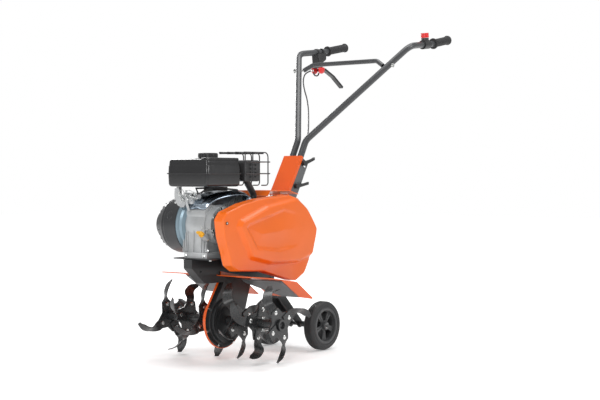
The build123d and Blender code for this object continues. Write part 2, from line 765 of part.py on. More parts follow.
with BuildPart() as fuel_cap:
    with BuildSketch(Plane.XY.offset(TANK_Z[1] + 3.4)):
        with Locations(CAP):
            Circle(34)
            with PolarLocations(34.5, 18):
                Circle(2.2, mode=Mode.SUBTRACT)
    extrude(amount=18)
    with BuildSketch(Plane.XY.offset(TANK_Z[1] + 3)):
        with Locations(CAP):
            Circle(27.4)
    extrude(amount=12.5, mode=Mode.SUBTRACT)
save(fuel_cap, "fuel_cap")

# ---------------------------------------------------------------- muffler and its cage
MUFFLER_X, MUFFLER_Y, MUFFLER_Z = (-58, 78), (26, 110), (636, 712)
with BuildPart() as muffler:
    with Locations((sum(MUFFLER_X) / 2, sum(MUFFLER_Y) / 2, sum(MUFFLER_Z) / 2)):
        Box(MUFFLER_X[1] - MUFFLER_X[0], MUFFLER_Y[1] - MUFFLER_Y[0], MUFFLER_Z[1] - MUFFLER_Z[0])
    fillet(muffler.edges().filter_by(Axis.X), 12)
    with BuildSketch(Plane.YZ.offset(MUFFLER_X[1] - 3)):
        with Locations((70, 674)):
            with GridLocations(26, 14, 2, 4):
                SlotOverall(15, 6)
    extrude(amount=3, mode=Mode.SUBTRACT)
    add(bent_tube([(50, 68, 640), (50, 108, 590), (50, 108, 558)], 20, 12))
save(muffler, "muffler")

WIRE = 2.2
HOOP_X = (-30, 8, 46, 86)
CAGE_Y, CAGE_Z = (14, 148), (622, 740)
LAP = 2 * WIRE - 0.5      # welded wires bite into each other a little


def wire_box(x):
    """Hoop of the cage: over the top, down the back and forward under the muffler."""
    front, back = CAGE_Y
    low, high = CAGE_Z
    loop = [(x, front, high), (x, back, high), (x, back, low), (x, back - 36, low)]
    return bent_tube(loop, [18, 12], WIRE)


with BuildPart() as muffler_guard:
    for x in HOOP_X:
        add(wire_box(x))
    for y in (24, 66, 112):
        add(rod((HOOP_X[0] - 8, y, CAGE_Z[1] - LAP), (HOOP_X[-1] + 8, y, CAGE_Z[1] - LAP), WIRE))
    for z in (706, 664):
        add(rod((HOOP_X[0] - 8, CAGE_Y[1] - LAP, z), (HOOP_X[-1] + 8, CAGE_Y[1] - LAP, z), WIRE))
        add(rod((HOOP_X[-1] + LAP, 20, z), (HOOP_X[-1] + LAP, CAGE_Y[1] + 6, z), WIRE))
    for y in (24 - LAP, 66 - LAP):
        add(rod((HOOP_X[-1] + 0.6, y, CAGE_Z[1] + 2), (HOOP_X[-1] + 0.6, y, 640), WIRE))
save(muffler_guard, "muffler_guard")

# ---------------------------------------------------------------- handlebar bracket
BRACKET_SIDE = [(320, 560), (340, 622), (404, 729), (446, 704), (388, 600), (352, 542)]
SLOT_R = hypot(HANDLE_CLAMP[0] - HANDLE_PIVOT[0], HANDLE_CLAMP[1] - HANDLE_PIVOT[1])
SLOT_ANGLE = degrees(atan2(HANDLE_CLAMP[1] - HANDLE_PIVOT[1], HANDLE_CLAMP[0] - HANDLE_PIVOT[0]))
BRACKET_X = 36


def swung(angle):
    """Place of the upper clamp bolt when the handlebar is lowered by an angle."""
    turned = radians(SLOT_ANGLE - angle)
    return (HANDLE_PIVOT[0] + SLOT_R * cos(turned), HANDLE_PIVOT[1] + SLOT_R * sin(turned))


with BuildPart() as handlebar_bracket:
    for x in (BRACKET_X, -BRACKET_X - 4):
        add(plate(BRACKET_SIDE, x, 4, 5))
    add(plate([(322, 568.5), (352, 556.5), (354, 560), (324, 572)], -BRACKET_X, 2 * BRACKET_X))
    for x in (16, -19):
        add(plate([(322, 535), (348, 535), (353, 558), (323, 570)], x + (0.1 if x > 0 else -0.1), 3))
    add(disc(HANDLE_PIVOT, -60, 120, 4 + CLEAR), mode=Mode.SUBTRACT)
    add(disc(COLUMN_BOLTS[1], -60, 120, 5 + CLEAR), mode=Mode.SUBTRACT)
    add(hull_band(swung(-0.8), 5, swung(HANDLE_SWING + 0.8), 5, -60, 120), mode=Mode.SUBTRACT)
save(handlebar_bracket, "handlebar_bracket")

PANEL_FRONT = [(404.5, 731), (338.5, 623), (314, 584)]
with BuildPart() as console_panel:
    add(plate(strip(PANEL_FRONT, -2.5), -43, 86))
    for x in (-43, 40.6):
        add(plate(strip(PANEL_FRONT, 9), x, 2.4))
save(console_panel, "console_panel")


def clamp_lever(centre, tip, x_bolt=-44):
    """Clamp bolt across the bracket with its quick lever outside."""
    with BuildPart() as lever:
        add(disc(centre, x_bolt, 54 - x_bolt, 4))
        add(disc(centre, x_bolt - 4, 3.8, 8))
        add(disc(centre, 40.3, 13.7, 9))
        reach = Vector(tip[0] - centre[0], tip[1] - centre[1])
        side = reach.rotate(Axis.Z, 90).normalized()
        hook = reach + side * 7
        outline = [side * -7, side * 7, reach * 0.7 + side * 5, hook, reach * 0.97 - side * 3]
        add(plate([(centre[0] + p.X, centre[1] + p.Y) for p in outline], 43.6, 8.4))
    return lever.part


with BuildPart() as clamp_lever_lower:
    add(clamp_lever(HANDLE_PIVOT, (436, 626)))
save(clamp_lever_lower, "clamp_lever_lower")

with BuildPart() as clamp_lever_upper:
    add(clamp_lever(HANDLE_CLAMP, (474, 720)))
save(clamp_lever_upper, "clamp_lever_upper")

# ---------------------------------------------------------------- handlebar
LOW_DROP = 222        # length of tube below the lower bend
DROP_DIR = (-0.4695, -0.8829)
LOWER_END = (
    LOWER_BEND[0], LOWER_BEND[1] + LOW_DROP * DROP_DIR[0], LOWER_BEND[2] + LOW_DROP * DROP_DIR[1],
)

with BuildPart() as handle_tube_right:
    add(bent_tube(
        [LOWER_END, LOWER_BEND, UPPER_CORNER, GRIP_START, GRIP_END],
        [60, 70, 60], TUBE_R, TUBE_R - TUBE_WALL,
    ))
    for centre in (HANDLE_PIVOT, HANDLE_CLAMP):
        add(disc(centre, 0, 60, 4 + CLEAR), mode=Mode.SUBTRACT)
    with BuildSketch(Plane.YZ):
        with Locations(CROSS_JOINT):
            Circle(3 + CLEAR)
    extrude(amount=300, mode=Mode.SUBTRACT)
save(handle_tube_right, "handle_tube_right")

with BuildPart() as handle_tube_left:
    add(mirrored(handle_tube_right.part))
save(handle_tube_left, "handle_tube_left")

CROSS_END = (196, 722, 1086)
CROSS_BEND = (158, 735.5, 1108)
with BuildPart() as crossbar:
    add(bent_tube(
        [(-CROSS_END[0], *CROSS_END[1:]), (-CROSS_BEND[0], *CROSS_BEND[1:]), CROSS_BEND, CROSS_END],
        30, 9, 7,
    ))
save(crossbar, "crossbar")

with BuildPart() as handlebar_bolts:
    for side in (-1, 1):
        add(rod((side * 241.4, *CROSS_JOINT), (side * 244, *CROSS_JOINT), 8.5))
        add(rod((side * 203, *CROSS_JOINT), (side * 248, *CROSS_JOINT), 3))
save(handlebar_bolts, "handlebar_bolts")


def grip(side):
    start = Vector(side * GRIP_START[0], *GRIP_START[1:])
    end = Vector(side * GRIP_END[0], *GRIP_END[1:])
    axis = (end - start).normalized()
    with BuildPart() as piece:
        add(rod(tuple(start + axis * 4), tuple(end), 16.5))
        add(rod(tuple(start + axis * 4), tuple(start + axis * 9), 22))
        add(rod(tuple(end - axis * 1), tuple(end + axis * 4), 19.5))
        add(rod(tuple(start - axis * 5), tuple(end), TUBE_R + 0.1), mode=Mode.SUBTRACT)
    return piece.part


with BuildPart() as grip_right:
    add(grip(1))
save(grip_right, "grip_right")

with BuildPart() as grip_left:
    add(grip(-1))
save(grip_left, "grip_left")

# ---------------------------------------------------------------- clutch lever and switch
def tube_point(y):
    """Point on the axis of the right tube between its corner and its grip."""
    corner, start = Vector(*UPPER_CORNER), Vector(*GRIP_START)
    return tuple(corner + (start - corner) * ((y - corner.Y) / (start.Y - corner.Y)))


LEVER_PIVOT = (935, 1106)
CLUTCH_X = -268

with BuildPart() as clutch_bracket:
    add(plate([(893, 1148), (948, 1155), (948, 1171), (893, 1164)], CLUTCH_X - 14, 28))
    for x in (CLUTCH_X - 14, CLUTCH_X + 11):
        add(plate([(897, 1092), (897, 1150), (946, 1156), (946, 1097), (920, 1090)], x, 3, 4))
    add(plate([(897, 1094), (897, 1146), (894, 1146), (894, 1094)], CLUTCH_X - 14, 28))
    add(rod((CLUTCH_X, 894, 1102), (CLUTCH_X, 880, 1100.5), 6))
    add(disc(LEVER_PIVOT, CLUTCH_X - 60, 120, 3 + CLEAR), mode=Mode.SUBTRACT)
    add(rod((CLUTCH_X, 920, 1104.8), (CLUTCH_X, 870, 1099.4), 3 + CLEAR), mode=Mode.SUBTRACT)
save(clutch_bracket, "clutch_bracket")

with BuildPart() as clutch_lever:
    add(disc(LEVER_PIVOT, CLUTCH_X - 9, 18, 11))
    add(disc(LEVER_PIVOT, CLUTCH_X - 16, 32, 3))
    arm = [(934, 1115), (958, 1113), (1020, 1086), (1084, 1043)]
    add(plate(strip(arm, -9), CLUTCH_X - 9, 18))
save(clutch_lever, "clutch_lever")

with BuildPart() as throttle_base:
    add(rod((269, 913, 1186), (269, 911.4, 1205.5), 15))
    add(rod(tube_point(890), tube_point(936), 18))
    add(rod(tube_point(880), tube_point(946), TUBE_R + 0.1), mode=Mode.SUBTRACT)
save(throttle_base, "throttle_base")

with BuildPart() as throttle_knob:
    knob_low, knob_top = Vector(269, 911.3, 1206.4), Vector(269, 909, 1225)
    with BuildSketch(Plane(origin=knob_low, z_dir=knob_top - knob_low)):
        Circle(16)
        with PolarLocations(17, 6):
            Circle(3.5, mode=Mode.SUBTRACT)
    extrude(amount=(knob_top - knob_low).length)
save(throttle_knob, "throttle_knob")

# Clutch cable: from the lever bracket along the left tube, down behind the handlebar and
# into the gland of the belt case.
CABLE_R = 3
CABLE_ROUTE = [
    (-268, 878, 1100), (-268, 832, 1092), (-258, 796, 1060), (-228, 765, 1016), (-190, 735, 975),
    (-145, 687, 930), (-90, 617, 878), (-32, 540, 826), (0, 482, 771), (0, 446, 710),
    (2, 398, 616), (6, 380, 568), (22, 358, 520), (42, 316, 486), (62, 272, 471), (96.3, 262, 470),
]


def cord_radii(points):
    radii = []
    for before, here, after in zip(points, points[1:], points[2:]):
        run_in, run_out = Vector(*here) - Vector(*before), Vector(*after) - Vector(*here)
        turn = radians(run_in.get_angle(run_out))
        radii.append(0.45 * min(run_in.length, run_out.length) / tan(turn / 2))
    return radii


CABLE_RADII = cord_radii(CABLE_ROUTE)
print("cable radii", [round(r) for r in CABLE_RADII])
with BuildPart() as clutch_cable:
    add(bent_tube(CABLE_ROUTE, CABLE_RADII, CABLE_R - 0.05))
save(clutch_cable, "clutch_cable")
with BuildLine() as cable_line:
    FilletPolyline(*CABLE_ROUTE, radius=CABLE_RADII)
section = pi * (CABLE_R - 0.05) ** 2
print("cable length", round(cable_line.wire().length), "volume ratio",
      round(clutch_cable.part.volume / (section * cable_line.wire().length), 4))

# ---------------------------------------------------------------- transport wheels
ARM_X = 20
with BuildPart() as wheel_bracket:
    for x in (ARM_X, -ARM_X - 4):
        add(hull_band(WHEEL_PIVOT, 17, WHEEL, 15, x, 4))
    add(plate(strip([(330, 190), (385, 135)], 4), -ARM_X, 2 * ARM_X))
    add(disc(WHEEL, -WHEEL_X - WHEEL_W - 4, 2 * (WHEEL_X + WHEEL_W + 4), WHEEL_AXLE_R))
    for x in (ARM_X + 4, -WHEEL_X + 1):
        add(disc(WHEEL, x, WHEEL_X - 5 - ARM_X, 11))
    add(disc(WHEEL_PIVOT, -60, 120, 5 + CLEAR), mode=Mode.SUBTRACT)
save(wheel_bracket, "wheel_bracket")


def wheel_pieces(side):
    """Rim with five wedge openings in front of a closed back wall, and its solid tyre."""
    inner = WHEEL_X if side > 0 else -WHEEL_X - WHEEL_W
    with BuildPart() as rim:
        add(disc(WHEEL, inner + 2, WHEEL_W - 4, 70, 58))
        add(disc(WHEEL, inner, WHEEL_W, 15))
        web_x = WHEEL_X + 24 if side > 0 else -WHEEL_X - 32
        add(disc(WHEEL, web_x, 8, 60))
        with BuildSketch(Plane.YZ.offset(-200)):
            for spoke in range(5):
                a = radians(90 + 72 * spoke)
                wedge = [(r * cos(a + t), r * sin(a + t)) for r, t in
                         ((20, -0.35), (54, -0.42), (57, 0), (54, 0.42), (20, 0.35))]
                with BuildLine():
                    Polyline(*[(WHEEL[0] + p, WHEEL[1] + q) for p, q in wedge], close=True)
                make_face()
        extrude(amount=400, mode=Mode.SUBTRACT)
        back_x = WHEEL_X + 4 if side > 0 else -WHEEL_X - 7
        add(disc(WHEEL, back_x, 3, 60))
        add(disc(WHEEL, -300, 600, WHEEL_AXLE_R + CLEAR), mode=Mode.SUBTRACT)
    with BuildPart() as tyre:
        add(disc(WHEEL, inner, WHEEL_W, WHEEL_R))
        fillet(tyre.edges().filter_by(GeomType.CIRCLE), 9)
        add(disc(WHEEL, -300, 600, 70), mode=Mode.SUBTRACT)
    return rim.part, tyre.part


RIGHT_RIM, RIGHT_TYRE = wheel_pieces(1)
LEFT_RIM, LEFT_TYRE = wheel_pieces(-1)
with BuildPart() as rim_right:
    add(RIGHT_RIM)
save(rim_right, "rim_right")
with BuildPart() as tyre_right:
    add(RIGHT_TYRE)
save(tyre_right, "tyre_right")
with BuildPart() as rim_left:
    add(LEFT_RIM)
save(rim_left, "rim_left")
with BuildPart() as tyre_left:
    add(LEFT_TYRE)
save(tyre_left, "tyre_left")

# ---------------------------------------------------------------- bolts of the frame
with BuildPart() as frame_bolts:
    for side in (-1, 1):
        for place in ((-20, 350), (150, 350)):
            add(bolt(*place, side * (CHASSIS_X + SHEET), -side * SHEET))
    for x, y in ENGINE_BOLTS:
        with Locations((x, y, PLATE_Z - 7)):
            Cylinder(7, 6)
    for y, z in CASE_BOLTS:
        add(disc((y, z), -3, 6, 3))
        add(disc((y, z), 3, 3.5, 4.8))
    add(rod((-24, *WHEEL_PIVOT), (24, *WHEEL_PIVOT), 5))
    for x in (-28.5, 24.2):
        add(disc(WHEEL_PIVOT, x, 4.3, 9))
    for place in COLUMN_BOLTS:
        add(disc(place, -24, 48, 5))
        for x in (-28, 24):
            add(disc(place, x, 4, 9))
    add(disc((-150, 494), COVER_X0, 44, 2.9))
save(frame_bolts, "frame_bolts")
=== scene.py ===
import math

import bmesh
import bpy
from mathutils import Matrix, Vector


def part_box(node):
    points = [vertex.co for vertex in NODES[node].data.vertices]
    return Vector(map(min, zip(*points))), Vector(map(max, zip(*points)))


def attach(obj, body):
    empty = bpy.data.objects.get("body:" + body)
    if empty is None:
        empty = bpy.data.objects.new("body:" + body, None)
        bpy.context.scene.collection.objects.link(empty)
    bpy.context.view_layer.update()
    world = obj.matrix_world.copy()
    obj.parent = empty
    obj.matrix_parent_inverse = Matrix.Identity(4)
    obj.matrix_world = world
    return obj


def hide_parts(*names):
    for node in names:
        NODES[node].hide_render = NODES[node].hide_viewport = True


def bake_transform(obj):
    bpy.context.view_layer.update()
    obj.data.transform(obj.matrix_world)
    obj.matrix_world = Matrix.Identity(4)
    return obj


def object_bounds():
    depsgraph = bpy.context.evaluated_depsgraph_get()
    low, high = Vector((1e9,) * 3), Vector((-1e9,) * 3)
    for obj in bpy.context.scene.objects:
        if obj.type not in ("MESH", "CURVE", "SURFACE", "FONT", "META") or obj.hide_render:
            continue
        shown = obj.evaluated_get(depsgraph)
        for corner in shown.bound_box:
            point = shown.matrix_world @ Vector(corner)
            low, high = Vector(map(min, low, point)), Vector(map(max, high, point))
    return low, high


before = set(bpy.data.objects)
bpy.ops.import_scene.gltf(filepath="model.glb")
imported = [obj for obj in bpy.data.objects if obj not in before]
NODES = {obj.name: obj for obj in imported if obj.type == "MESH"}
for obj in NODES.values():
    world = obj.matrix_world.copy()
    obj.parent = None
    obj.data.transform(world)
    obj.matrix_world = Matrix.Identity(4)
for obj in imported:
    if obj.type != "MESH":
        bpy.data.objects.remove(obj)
CAD_BOUNDS = [list(corner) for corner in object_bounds()]

MM = 0.001


def middle(node):
    low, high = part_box(node)
    return (low + high) / 2


AXLE = middle("tine_shaft")           # centre of the tine axle
WHEEL = middle("tyre_right")          # both wheels share its y and z
TINE_R = 0.140                        # radius swept by the tine tips


def at(x, y, z):
    """Point given in millimetres from the ground under the tine axle."""
    return Vector((x * MM, AXLE.y + y * MM, z * MM))


# ------------------------------------------------------------------ materials
def shader(name, colour, rough, metal=0.0, tone=(6, 0.12), grain=(400, 0.05), haze=0.08,
           coat=0.0, spec=0.5, dirt=None):
    """Surface with a mottled tone, a fine grain and an uneven gloss."""
    mat = bpy.data.materials.new(name)
    mat.use_nodes = True
    nodes, links = mat.node_tree.nodes, mat.node_tree.links
    bsdf = nodes["Principled BSDF"]
    bsdf.inputs["Metallic"].default_value = metal
    bsdf.inputs["Specular IOR Level"].default_value = spec
    bsdf.inputs["Coat Weight"].default_value = coat
    bsdf.inputs["Coat Roughness"].default_value = 0.12
    coords = nodes.new("ShaderNodeTexCoord")

    def noise(scale, detail=4.0):
        tex = nodes.new("ShaderNodeTexNoise")
        tex.inputs["Scale"].default_value = scale
        tex.inputs["Detail"].default_value = detail
        links.new(coords.outputs["Object"], tex.inputs["Vector"])
        return tex.outputs["Fac"]

    ramp = nodes.new("ShaderNodeValToRGB")
    dark = [c * (1 - tone[1]) for c in colour]
    light = [min(1.0, c * (1 + tone[1])) for c in colour]
    ramp.color_ramp.elements[0].position = 0.3
    ramp.color_ramp.elements[1].position = 0.7
    ramp.color_ramp.elements[0].color = (*dark, 1)
    ramp.color_ramp.elements[1].color = (*light, 1)
    links.new(noise(tone[0]), ramp.inputs["Fac"])
    out = ramp.outputs["Color"]
    if dirt:
        spots = nodes.new("ShaderNodeMapRange")
        spots.inputs["From Min"].default_value = dirt[1]
        spots.inputs["From Max"].default_value = dirt[1] + 0.12
        links.new(noise(dirt[0], 8.0), spots.inputs["Value"])
        mix = nodes.new("ShaderNodeMix")
        mix.data_type = "RGBA"
        links.new(spots.outputs["Result"], mix.inputs["Factor"])
        links.new(out, mix.inputs["A"])
        mix.inputs["B"].default_value = (*dirt[2], 1)
        out = mix.outputs["Result"]
    links.new(out, bsdf.inputs["Base Color"])

    gloss = nodes.new("ShaderNodeMapRange")
    gloss.inputs["To Min"].default_value = max(0.03, rough - haze)
    gloss.inputs["To Max"].default_value = min(1.0, rough + haze)
    links.new(noise(tone[0] * 5), gloss.inputs["Value"])
    links.new(gloss.outputs["Result"], bsdf.inputs["Roughness"])

    bump = nodes.new("ShaderNodeBump")
    bump.inputs["Strength"].default_value = grain[1]
    bump.inputs["Distance"].default_value = 0.0003
    links.new(noise(grain[0], 2.0), bump.inputs["Height"])
    links.new(bump.outputs["Normal"], bsdf.inputs["Normal"])
    return mat


ORANGE = shader("orange_moulding", (0.80, 0.135, 0.004), 0.34, tone=(5, 0.05), grain=(700, 0.03), coat=0.12)
ORANGE_SHEET = shader("orange_powder_coat", (0.76, 0.100, 0.004), 0.32, tone=(8, 0.06),
                      grain=(900, 0.10), coat=0.2)
BLACK_COAT = shader("black_powder_coat", (0.018, 0.019, 0.020), 0.34, tone=(12, 0.12), grain=(1500, 0.04))
TUBE_COAT = shader("tube_powder_coat", (0.052, 0.054, 0.057), 0.27, tone=(10, 0.08), grain=(1600, 0.03))
BRACKET_GREY = shader("bracket_grey", (0.115, 0.118, 0.122), 0.42, tone=(14, 0.12), grain=(1400, 0.14))
TINE_COAT = shader("tine_black", (0.020, 0.021, 0.022), 0.28, tone=(22, 0.14), grain=(1100, 0.06), spec=0.6)
GUARD_GREY = shader("guard_sheet", (0.13, 0.135, 0.14), 0.42, tone=(10, 0.15), grain=(900, 0.12))
TANK_BLACK = shader("tank_plastic", (0.013, 0.013, 0.014), 0.22, tone=(7, 0.25), grain=(1300, 0.18))
PLASTIC = shader("black_plastic", (0.018, 0.018, 0.019), 0.42, tone=(10, 0.25), grain=(1800, 0.25))
HOUSING_GREY = shader("starter_plastic", (0.026, 0.027, 0.029), 0.32, tone=(9, 0.2), grain=(1500, 0.2))
RIM_GREY = shader("rim_plastic", (0.055, 0.056, 0.058), 0.40, tone=(12, 0.16), grain=(1500, 0.2))
RUBBER = shader("grip_rubber", (0.016, 0.016, 0.017), 0.55, tone=(14, 0.25), grain=(1200, 0.35))
TYRE = shader("tyre_rubber", (0.020, 0.020, 0.021), 0.56, tone=(18, 0.22), grain=(900, 0.4),
              dirt=(25, 0.68, (0.05, 0.048, 0.045)))
BELT = shader("belt_rubber", (0.015, 0.015, 0.015), 0.7, tone=(30, 0.3), grain=(2200, 0.5))
CAST = shader("cast_alloy", (0.44, 0.45, 0.455), 0.38, metal=0.35, tone=(16, 0.16), grain=(1300, 0.45))
BLUE_CAST = shader("adapter_alloy", (0.22, 0.30, 0.35), 0.36, metal=0.4, tone=(14, 0.14),
                   grain=(1200, 0.35))
ZINC = shader("zinc_plate", (0.66, 0.67, 0.66), 0.24, metal=1.0, tone=(40, 0.16), grain=(900, 0.10))
SHROUD = shader("bright_cowl", (0.40, 0.47, 0.55), 0.16, metal=1.0, tone=(9, 0.25), grain=(60, 0.12))
STEEL = shader("machined_steel", (0.42, 0.42, 0.43), 0.32, metal=1.0, tone=(30, 0.15), grain=(1500, 0.15))
MUFFLER_BLACK = shader("muffler_enamel", (0.026, 0.026, 0.027), 0.48, tone=(20, 0.3), grain=(1000, 0.3))
WIRE_BLACK = shader("wire_enamel", (0.030, 0.030, 0.032), 0.32, tone=(30, 0.2), grain=(1500, 0.1))
RED = shader("red_plastic", (0.70, 0.020, 0.020), 0.30, tone=(12, 0.10), grain=(900, 0.1), coat=0.2)
YELLOW = shader("yellow_plastic", (0.82, 0.42, 0.03), 0.34, tone=(16, 0.10), grain=(900, 0.15))
CABLE = shader("cable_sheath", (0.022, 0.022, 0.024), 0.40, tone=(40, 0.2), grain=(1500, 0.1))

FINISH = {
    ORANGE: ["column_cover"],
    ORANGE_SHEET: ["fender_left", "fender_right", "chain_case_left", "console_panel"],
    BLACK_COAT: ["chassis_frame", "rear_column", "chain_case_right", "wheel_bracket", "belt_backplate",
                 "clutch_bracket", "clutch_lever"],
    TUBE_COAT: ["handle_tube_left", "handle_tube_right", "crossbar"],
    BRACKET_GREY: ["handlebar_bracket"],
    TINE_COAT: ["tine_hub_left", "tine_hub_right"],
    GUARD_GREY: ["fender_guards"],
    PLASTIC: ["fuel_cap", "air_filter", "clamp_lever_lower", "clamp_lever_upper", "recoil_handle",
              "throttle_base", "tensioner_pulley"],
    HOUSING_GREY: ["fan_housing", "recoil_cover"],
    RIM_GREY: ["rim_left", "rim_right"],
    ZINC: ["frame_bolts", "handlebar_bolts", "tensioner_arm"],
    SHROUD: ["cylinder_shroud"],
    STEEL: ["roller_chain", "tine_shaft", "tine_sprocket", "input_shaft", "driven_pulley",
            "crank_pulley", "crankshaft"],
    CAST: ["crankcase", "crankcase_cover", "cylinder", "carburetor"],
    MUFFLER_BLACK: ["muffler"],
    WIRE_BLACK: ["muffler_guard"],
    RED: ["throttle_knob"],
    YELLOW: ["dipstick"],
    BELT: ["drive_belt"],
}
for material, names in FINISH.items():
    for name in names:
        for slot in NODES[name].material_slots:
            slot.material = material


# ------------------------------------------------------------------ mesh helpers
def smooth(obj, degrees=35):
    for face in obj.data.polygons:
        face.use_smooth = True
    obj.data.set_sharp_from_angle(angle=math.radians(degrees))


def piece(name, verts, faces, material, body, slot, sharp=35):
    mesh = bpy.data.meshes.new(name)
    mesh.from_pydata([tuple(v) for v in verts], [], faces)
    mesh.validate()
    work = bmesh.new()
    work.from_mesh(mesh)
    bmesh.ops.remove_doubles(work, verts=work.verts, dist=1e-6)
    bmesh.ops.recalc_face_normals(work, faces=work.faces)
    work.to_mesh(mesh)
    work.free()
    obj = bpy.data.objects.new(name, mesh)
    bpy.context.scene.collection.objects.link(obj)
    obj.data.materials.append(material)
    smooth(obj, sharp)
    if body:
        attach(obj, body)
    return obj


def rings(loops, close_ends=True):
    """Faces that join equal closed loops of points one after another."""
    count = len(loops[0])
    verts = [p for loop in loops for p in loop]
    faces = []
    for i in range(len(loops) - 1):
        for j in range(count):
            k = (j + 1) % count
            faces.append((i * count + j, i * count + k, (i + 1) * count + k, (i + 1) * count + j))
    if close_ends:
        faces.append(tuple(range(count)))
        last = (len(loops) - 1) * count
        faces.append(tuple(last + j for j in range(count)))
    return verts, faces


def lathe_loops(profile, origin, axis, steps=48):
    """Loops of a turned shape: profile gives (distance along the axis, radius)."""
    axis = Vector(axis).normalized()
    side = axis.orthogonal().normalized()
    other = axis.cross(side)
    loops = []
    for along, radius in profile:
        centre = Vector(origin) + axis * along * MM
        loops.append([
            centre + (side * math.cos(a) + other * math.sin(a)) * radius * MM
            for a in (2 * math.pi * i / steps for i in range(steps))
        ])
    return loops


def annulus(profile, origin, axis, steps=48):
    """Turned ring with an open middle: the profile runs round its whole section."""
    loops = lathe_loops(profile, origin, axis, steps)
    return rings(loops + [loops[0]], close_ends=False)


def merge(parts):
    verts, faces = [], []
    for v, f in parts:
        base = len(verts)
        verts += v
        faces += [tuple(base + i for i in face) for face in f]
    return verts, faces


def turned(name, profile, origin, axis, material, body, slot, steps=48, sharp=35):
    return piece(name, *rings(lathe_loops(profile, origin, axis, steps)), material, body, slot, sharp)


def tube_points(points, radius, steps=10):
    """Round wire along points, as rings."""
    points = [Vector(p) for p in points]
    loops = []
    side = None
    for i, p in enumerate(points):
        a = points[max(i - 1, 0)]
        b = points[min(i + 1, len(points) - 1)]
        direction = (b - a).normalized()
        if side is None:
            side = direction.orthogonal().normalized()
        side = (side - direction * side.dot(direction)).normalized()
        other = direction.cross(side)
        loops.append([
            p + (side * math.cos(t) + other * math.sin(t)) * radius * MM
            for t in (2 * math.pi * k / steps for k in range(steps))
        ])
    return rings(loops)


def wire(name, points, radius, material, body, slot, steps=10):
    return piece(name, *tube_points(points, radius, steps), material, body, slot, 60)


def slab(outline, x_low, x_high, bevel=1.0):
    """Plate parallel to the YZ plane with softened edges, from an outline in metres (y, z)."""
    centre = Vector((sum(p[0] for p in outline), sum(p[1] for p in outline))) / len(outline)
    inset = []
    for y, z in outline:
        v = Vector((y, z)) - centre
        inset.append(centre + v * (1 - bevel * MM / max(v.length, 1e-4)))
    b = bevel * MM * 0.5
    loops = []
    for x, shape in ((x_low, inset), (x_low + b, outline), (x_high - b, outline), (x_high, inset)):
        loops.append([Vector((x, p[0], p[1])) for p in shape])
    return rings(loops)


def rounded(outline, radius, steps=6):
    """Outline with arcs at its corners; points and radius in the same unit."""
    result = []
    count = len(outline)
    for i, corner in enumerate(outline):
        here = Vector(corner)
        before, after = Vector(outline[i - 1]), Vector(outline[(i + 1) % count])
        u, v = (before - here).normalized(), (after - here).normalized()
        half = math.acos(max(-1, min(1, u.dot(v)))) / 2
        cut = min(radius / math.tan(half), 0.45 * (before - here).length, 0.45 * (after - here).length)
        a, b = here + u * cut, here + v * cut
        for k in range(steps + 1):
            t = k / steps
            result.append((a * (1 - t) + here * t) * (1 - t) + (here * (1 - t) + b * t) * t)
    return result


def resample(outline, count):
    pts = [Vector(p) for p in outline]
    lengths = [0.0]
    for i in range(len(pts)):
        lengths.append(lengths[-1] + (pts[(i + 1) % len(pts)] - pts[i]).length)
    total, result, i = lengths[-1], [], 0
    for k in range(count):
        want = total * k / count
        while lengths[i + 1] < want:
            i += 1
        t = (want - lengths[i]) / max(lengths[i + 1] - lengths[i], 1e-9)
        result.append(pts[i].lerp(pts[(i + 1) % len(pts)], t))
    return result


def inside_distance(p, outline):
    """Distance from a point to an outline, positive inside it."""
    best, inside = 1e9, False
    count = len(outline)
    for i in range(count):
        a, b = outline[i], outline[(i + 1) % count]
        ab = b - a
        t = max(0.0, min(1.0, (p - a).dot(ab) / max(ab.length_squared, 1e-12)))
        best = min(best, (p - a - ab * t).length)
        if (a.y > p.y) != (b.y > p.y) and p.x < a.x + (p.y - a.y) * ab.x / ab.y:
            inside = not inside
    return best if inside else -best


def ease(low, high, value):
    t = max(0.0, min(1.0, (value - low) / (high - low)))
    return t * t * (3 - 2 * t)


# ------------------------------------------------------------------ belt cover
COVER_OUTLINE = [
    (-170, 506), (-148, 532), (-60, 559), (30, 575), (200, 588), (250, 576), (292, 534),
    (336, 488), (348, 462), (343, 425), (314, 341), (289, 299), (246, 271), (212, 277),
    (60, 315), (-88, 324), (-124, 346), (-143, 400), (-160, 445),
]
PANEL = [(-104, 484), (-80, 508), (60, 556), (232, 582), (300, 545), (362, 462), (330, 360), (246, 336),
         (80, 338), (-34, 362)]
RECESS = [(-64, 476), (-46, 492), (150, 540), (250, 520), (268, 470), (240, 400), (120, 384), (-4, 398)]
COVER_X0, COVER_X1 = 108, 150


def cover_height(p, edge, panel, recess):
    """How far the cover stands out along X, in millimetres, at (y, z)."""
    height = COVER_X1 - 3 + 4 * ease(0, 60, edge)
    height += 13 * ease(0, 17, inside_distance(p, panel))
    dip = inside_distance(p, recess)
    height -= 8 * ease(250, 60, p.x) * ease(0, 13, dip) * (1 - 0.9 * ease(16, 90, dip))
    chin = (350 - p.y) + 0.34 * (p.x - 60)
    height -= 10 * ease(0, 60, chin) * (1 - ease(0, 10, inside_distance(p, panel))) * ease(300, 220, p.x)
    return min(height, 165.5)


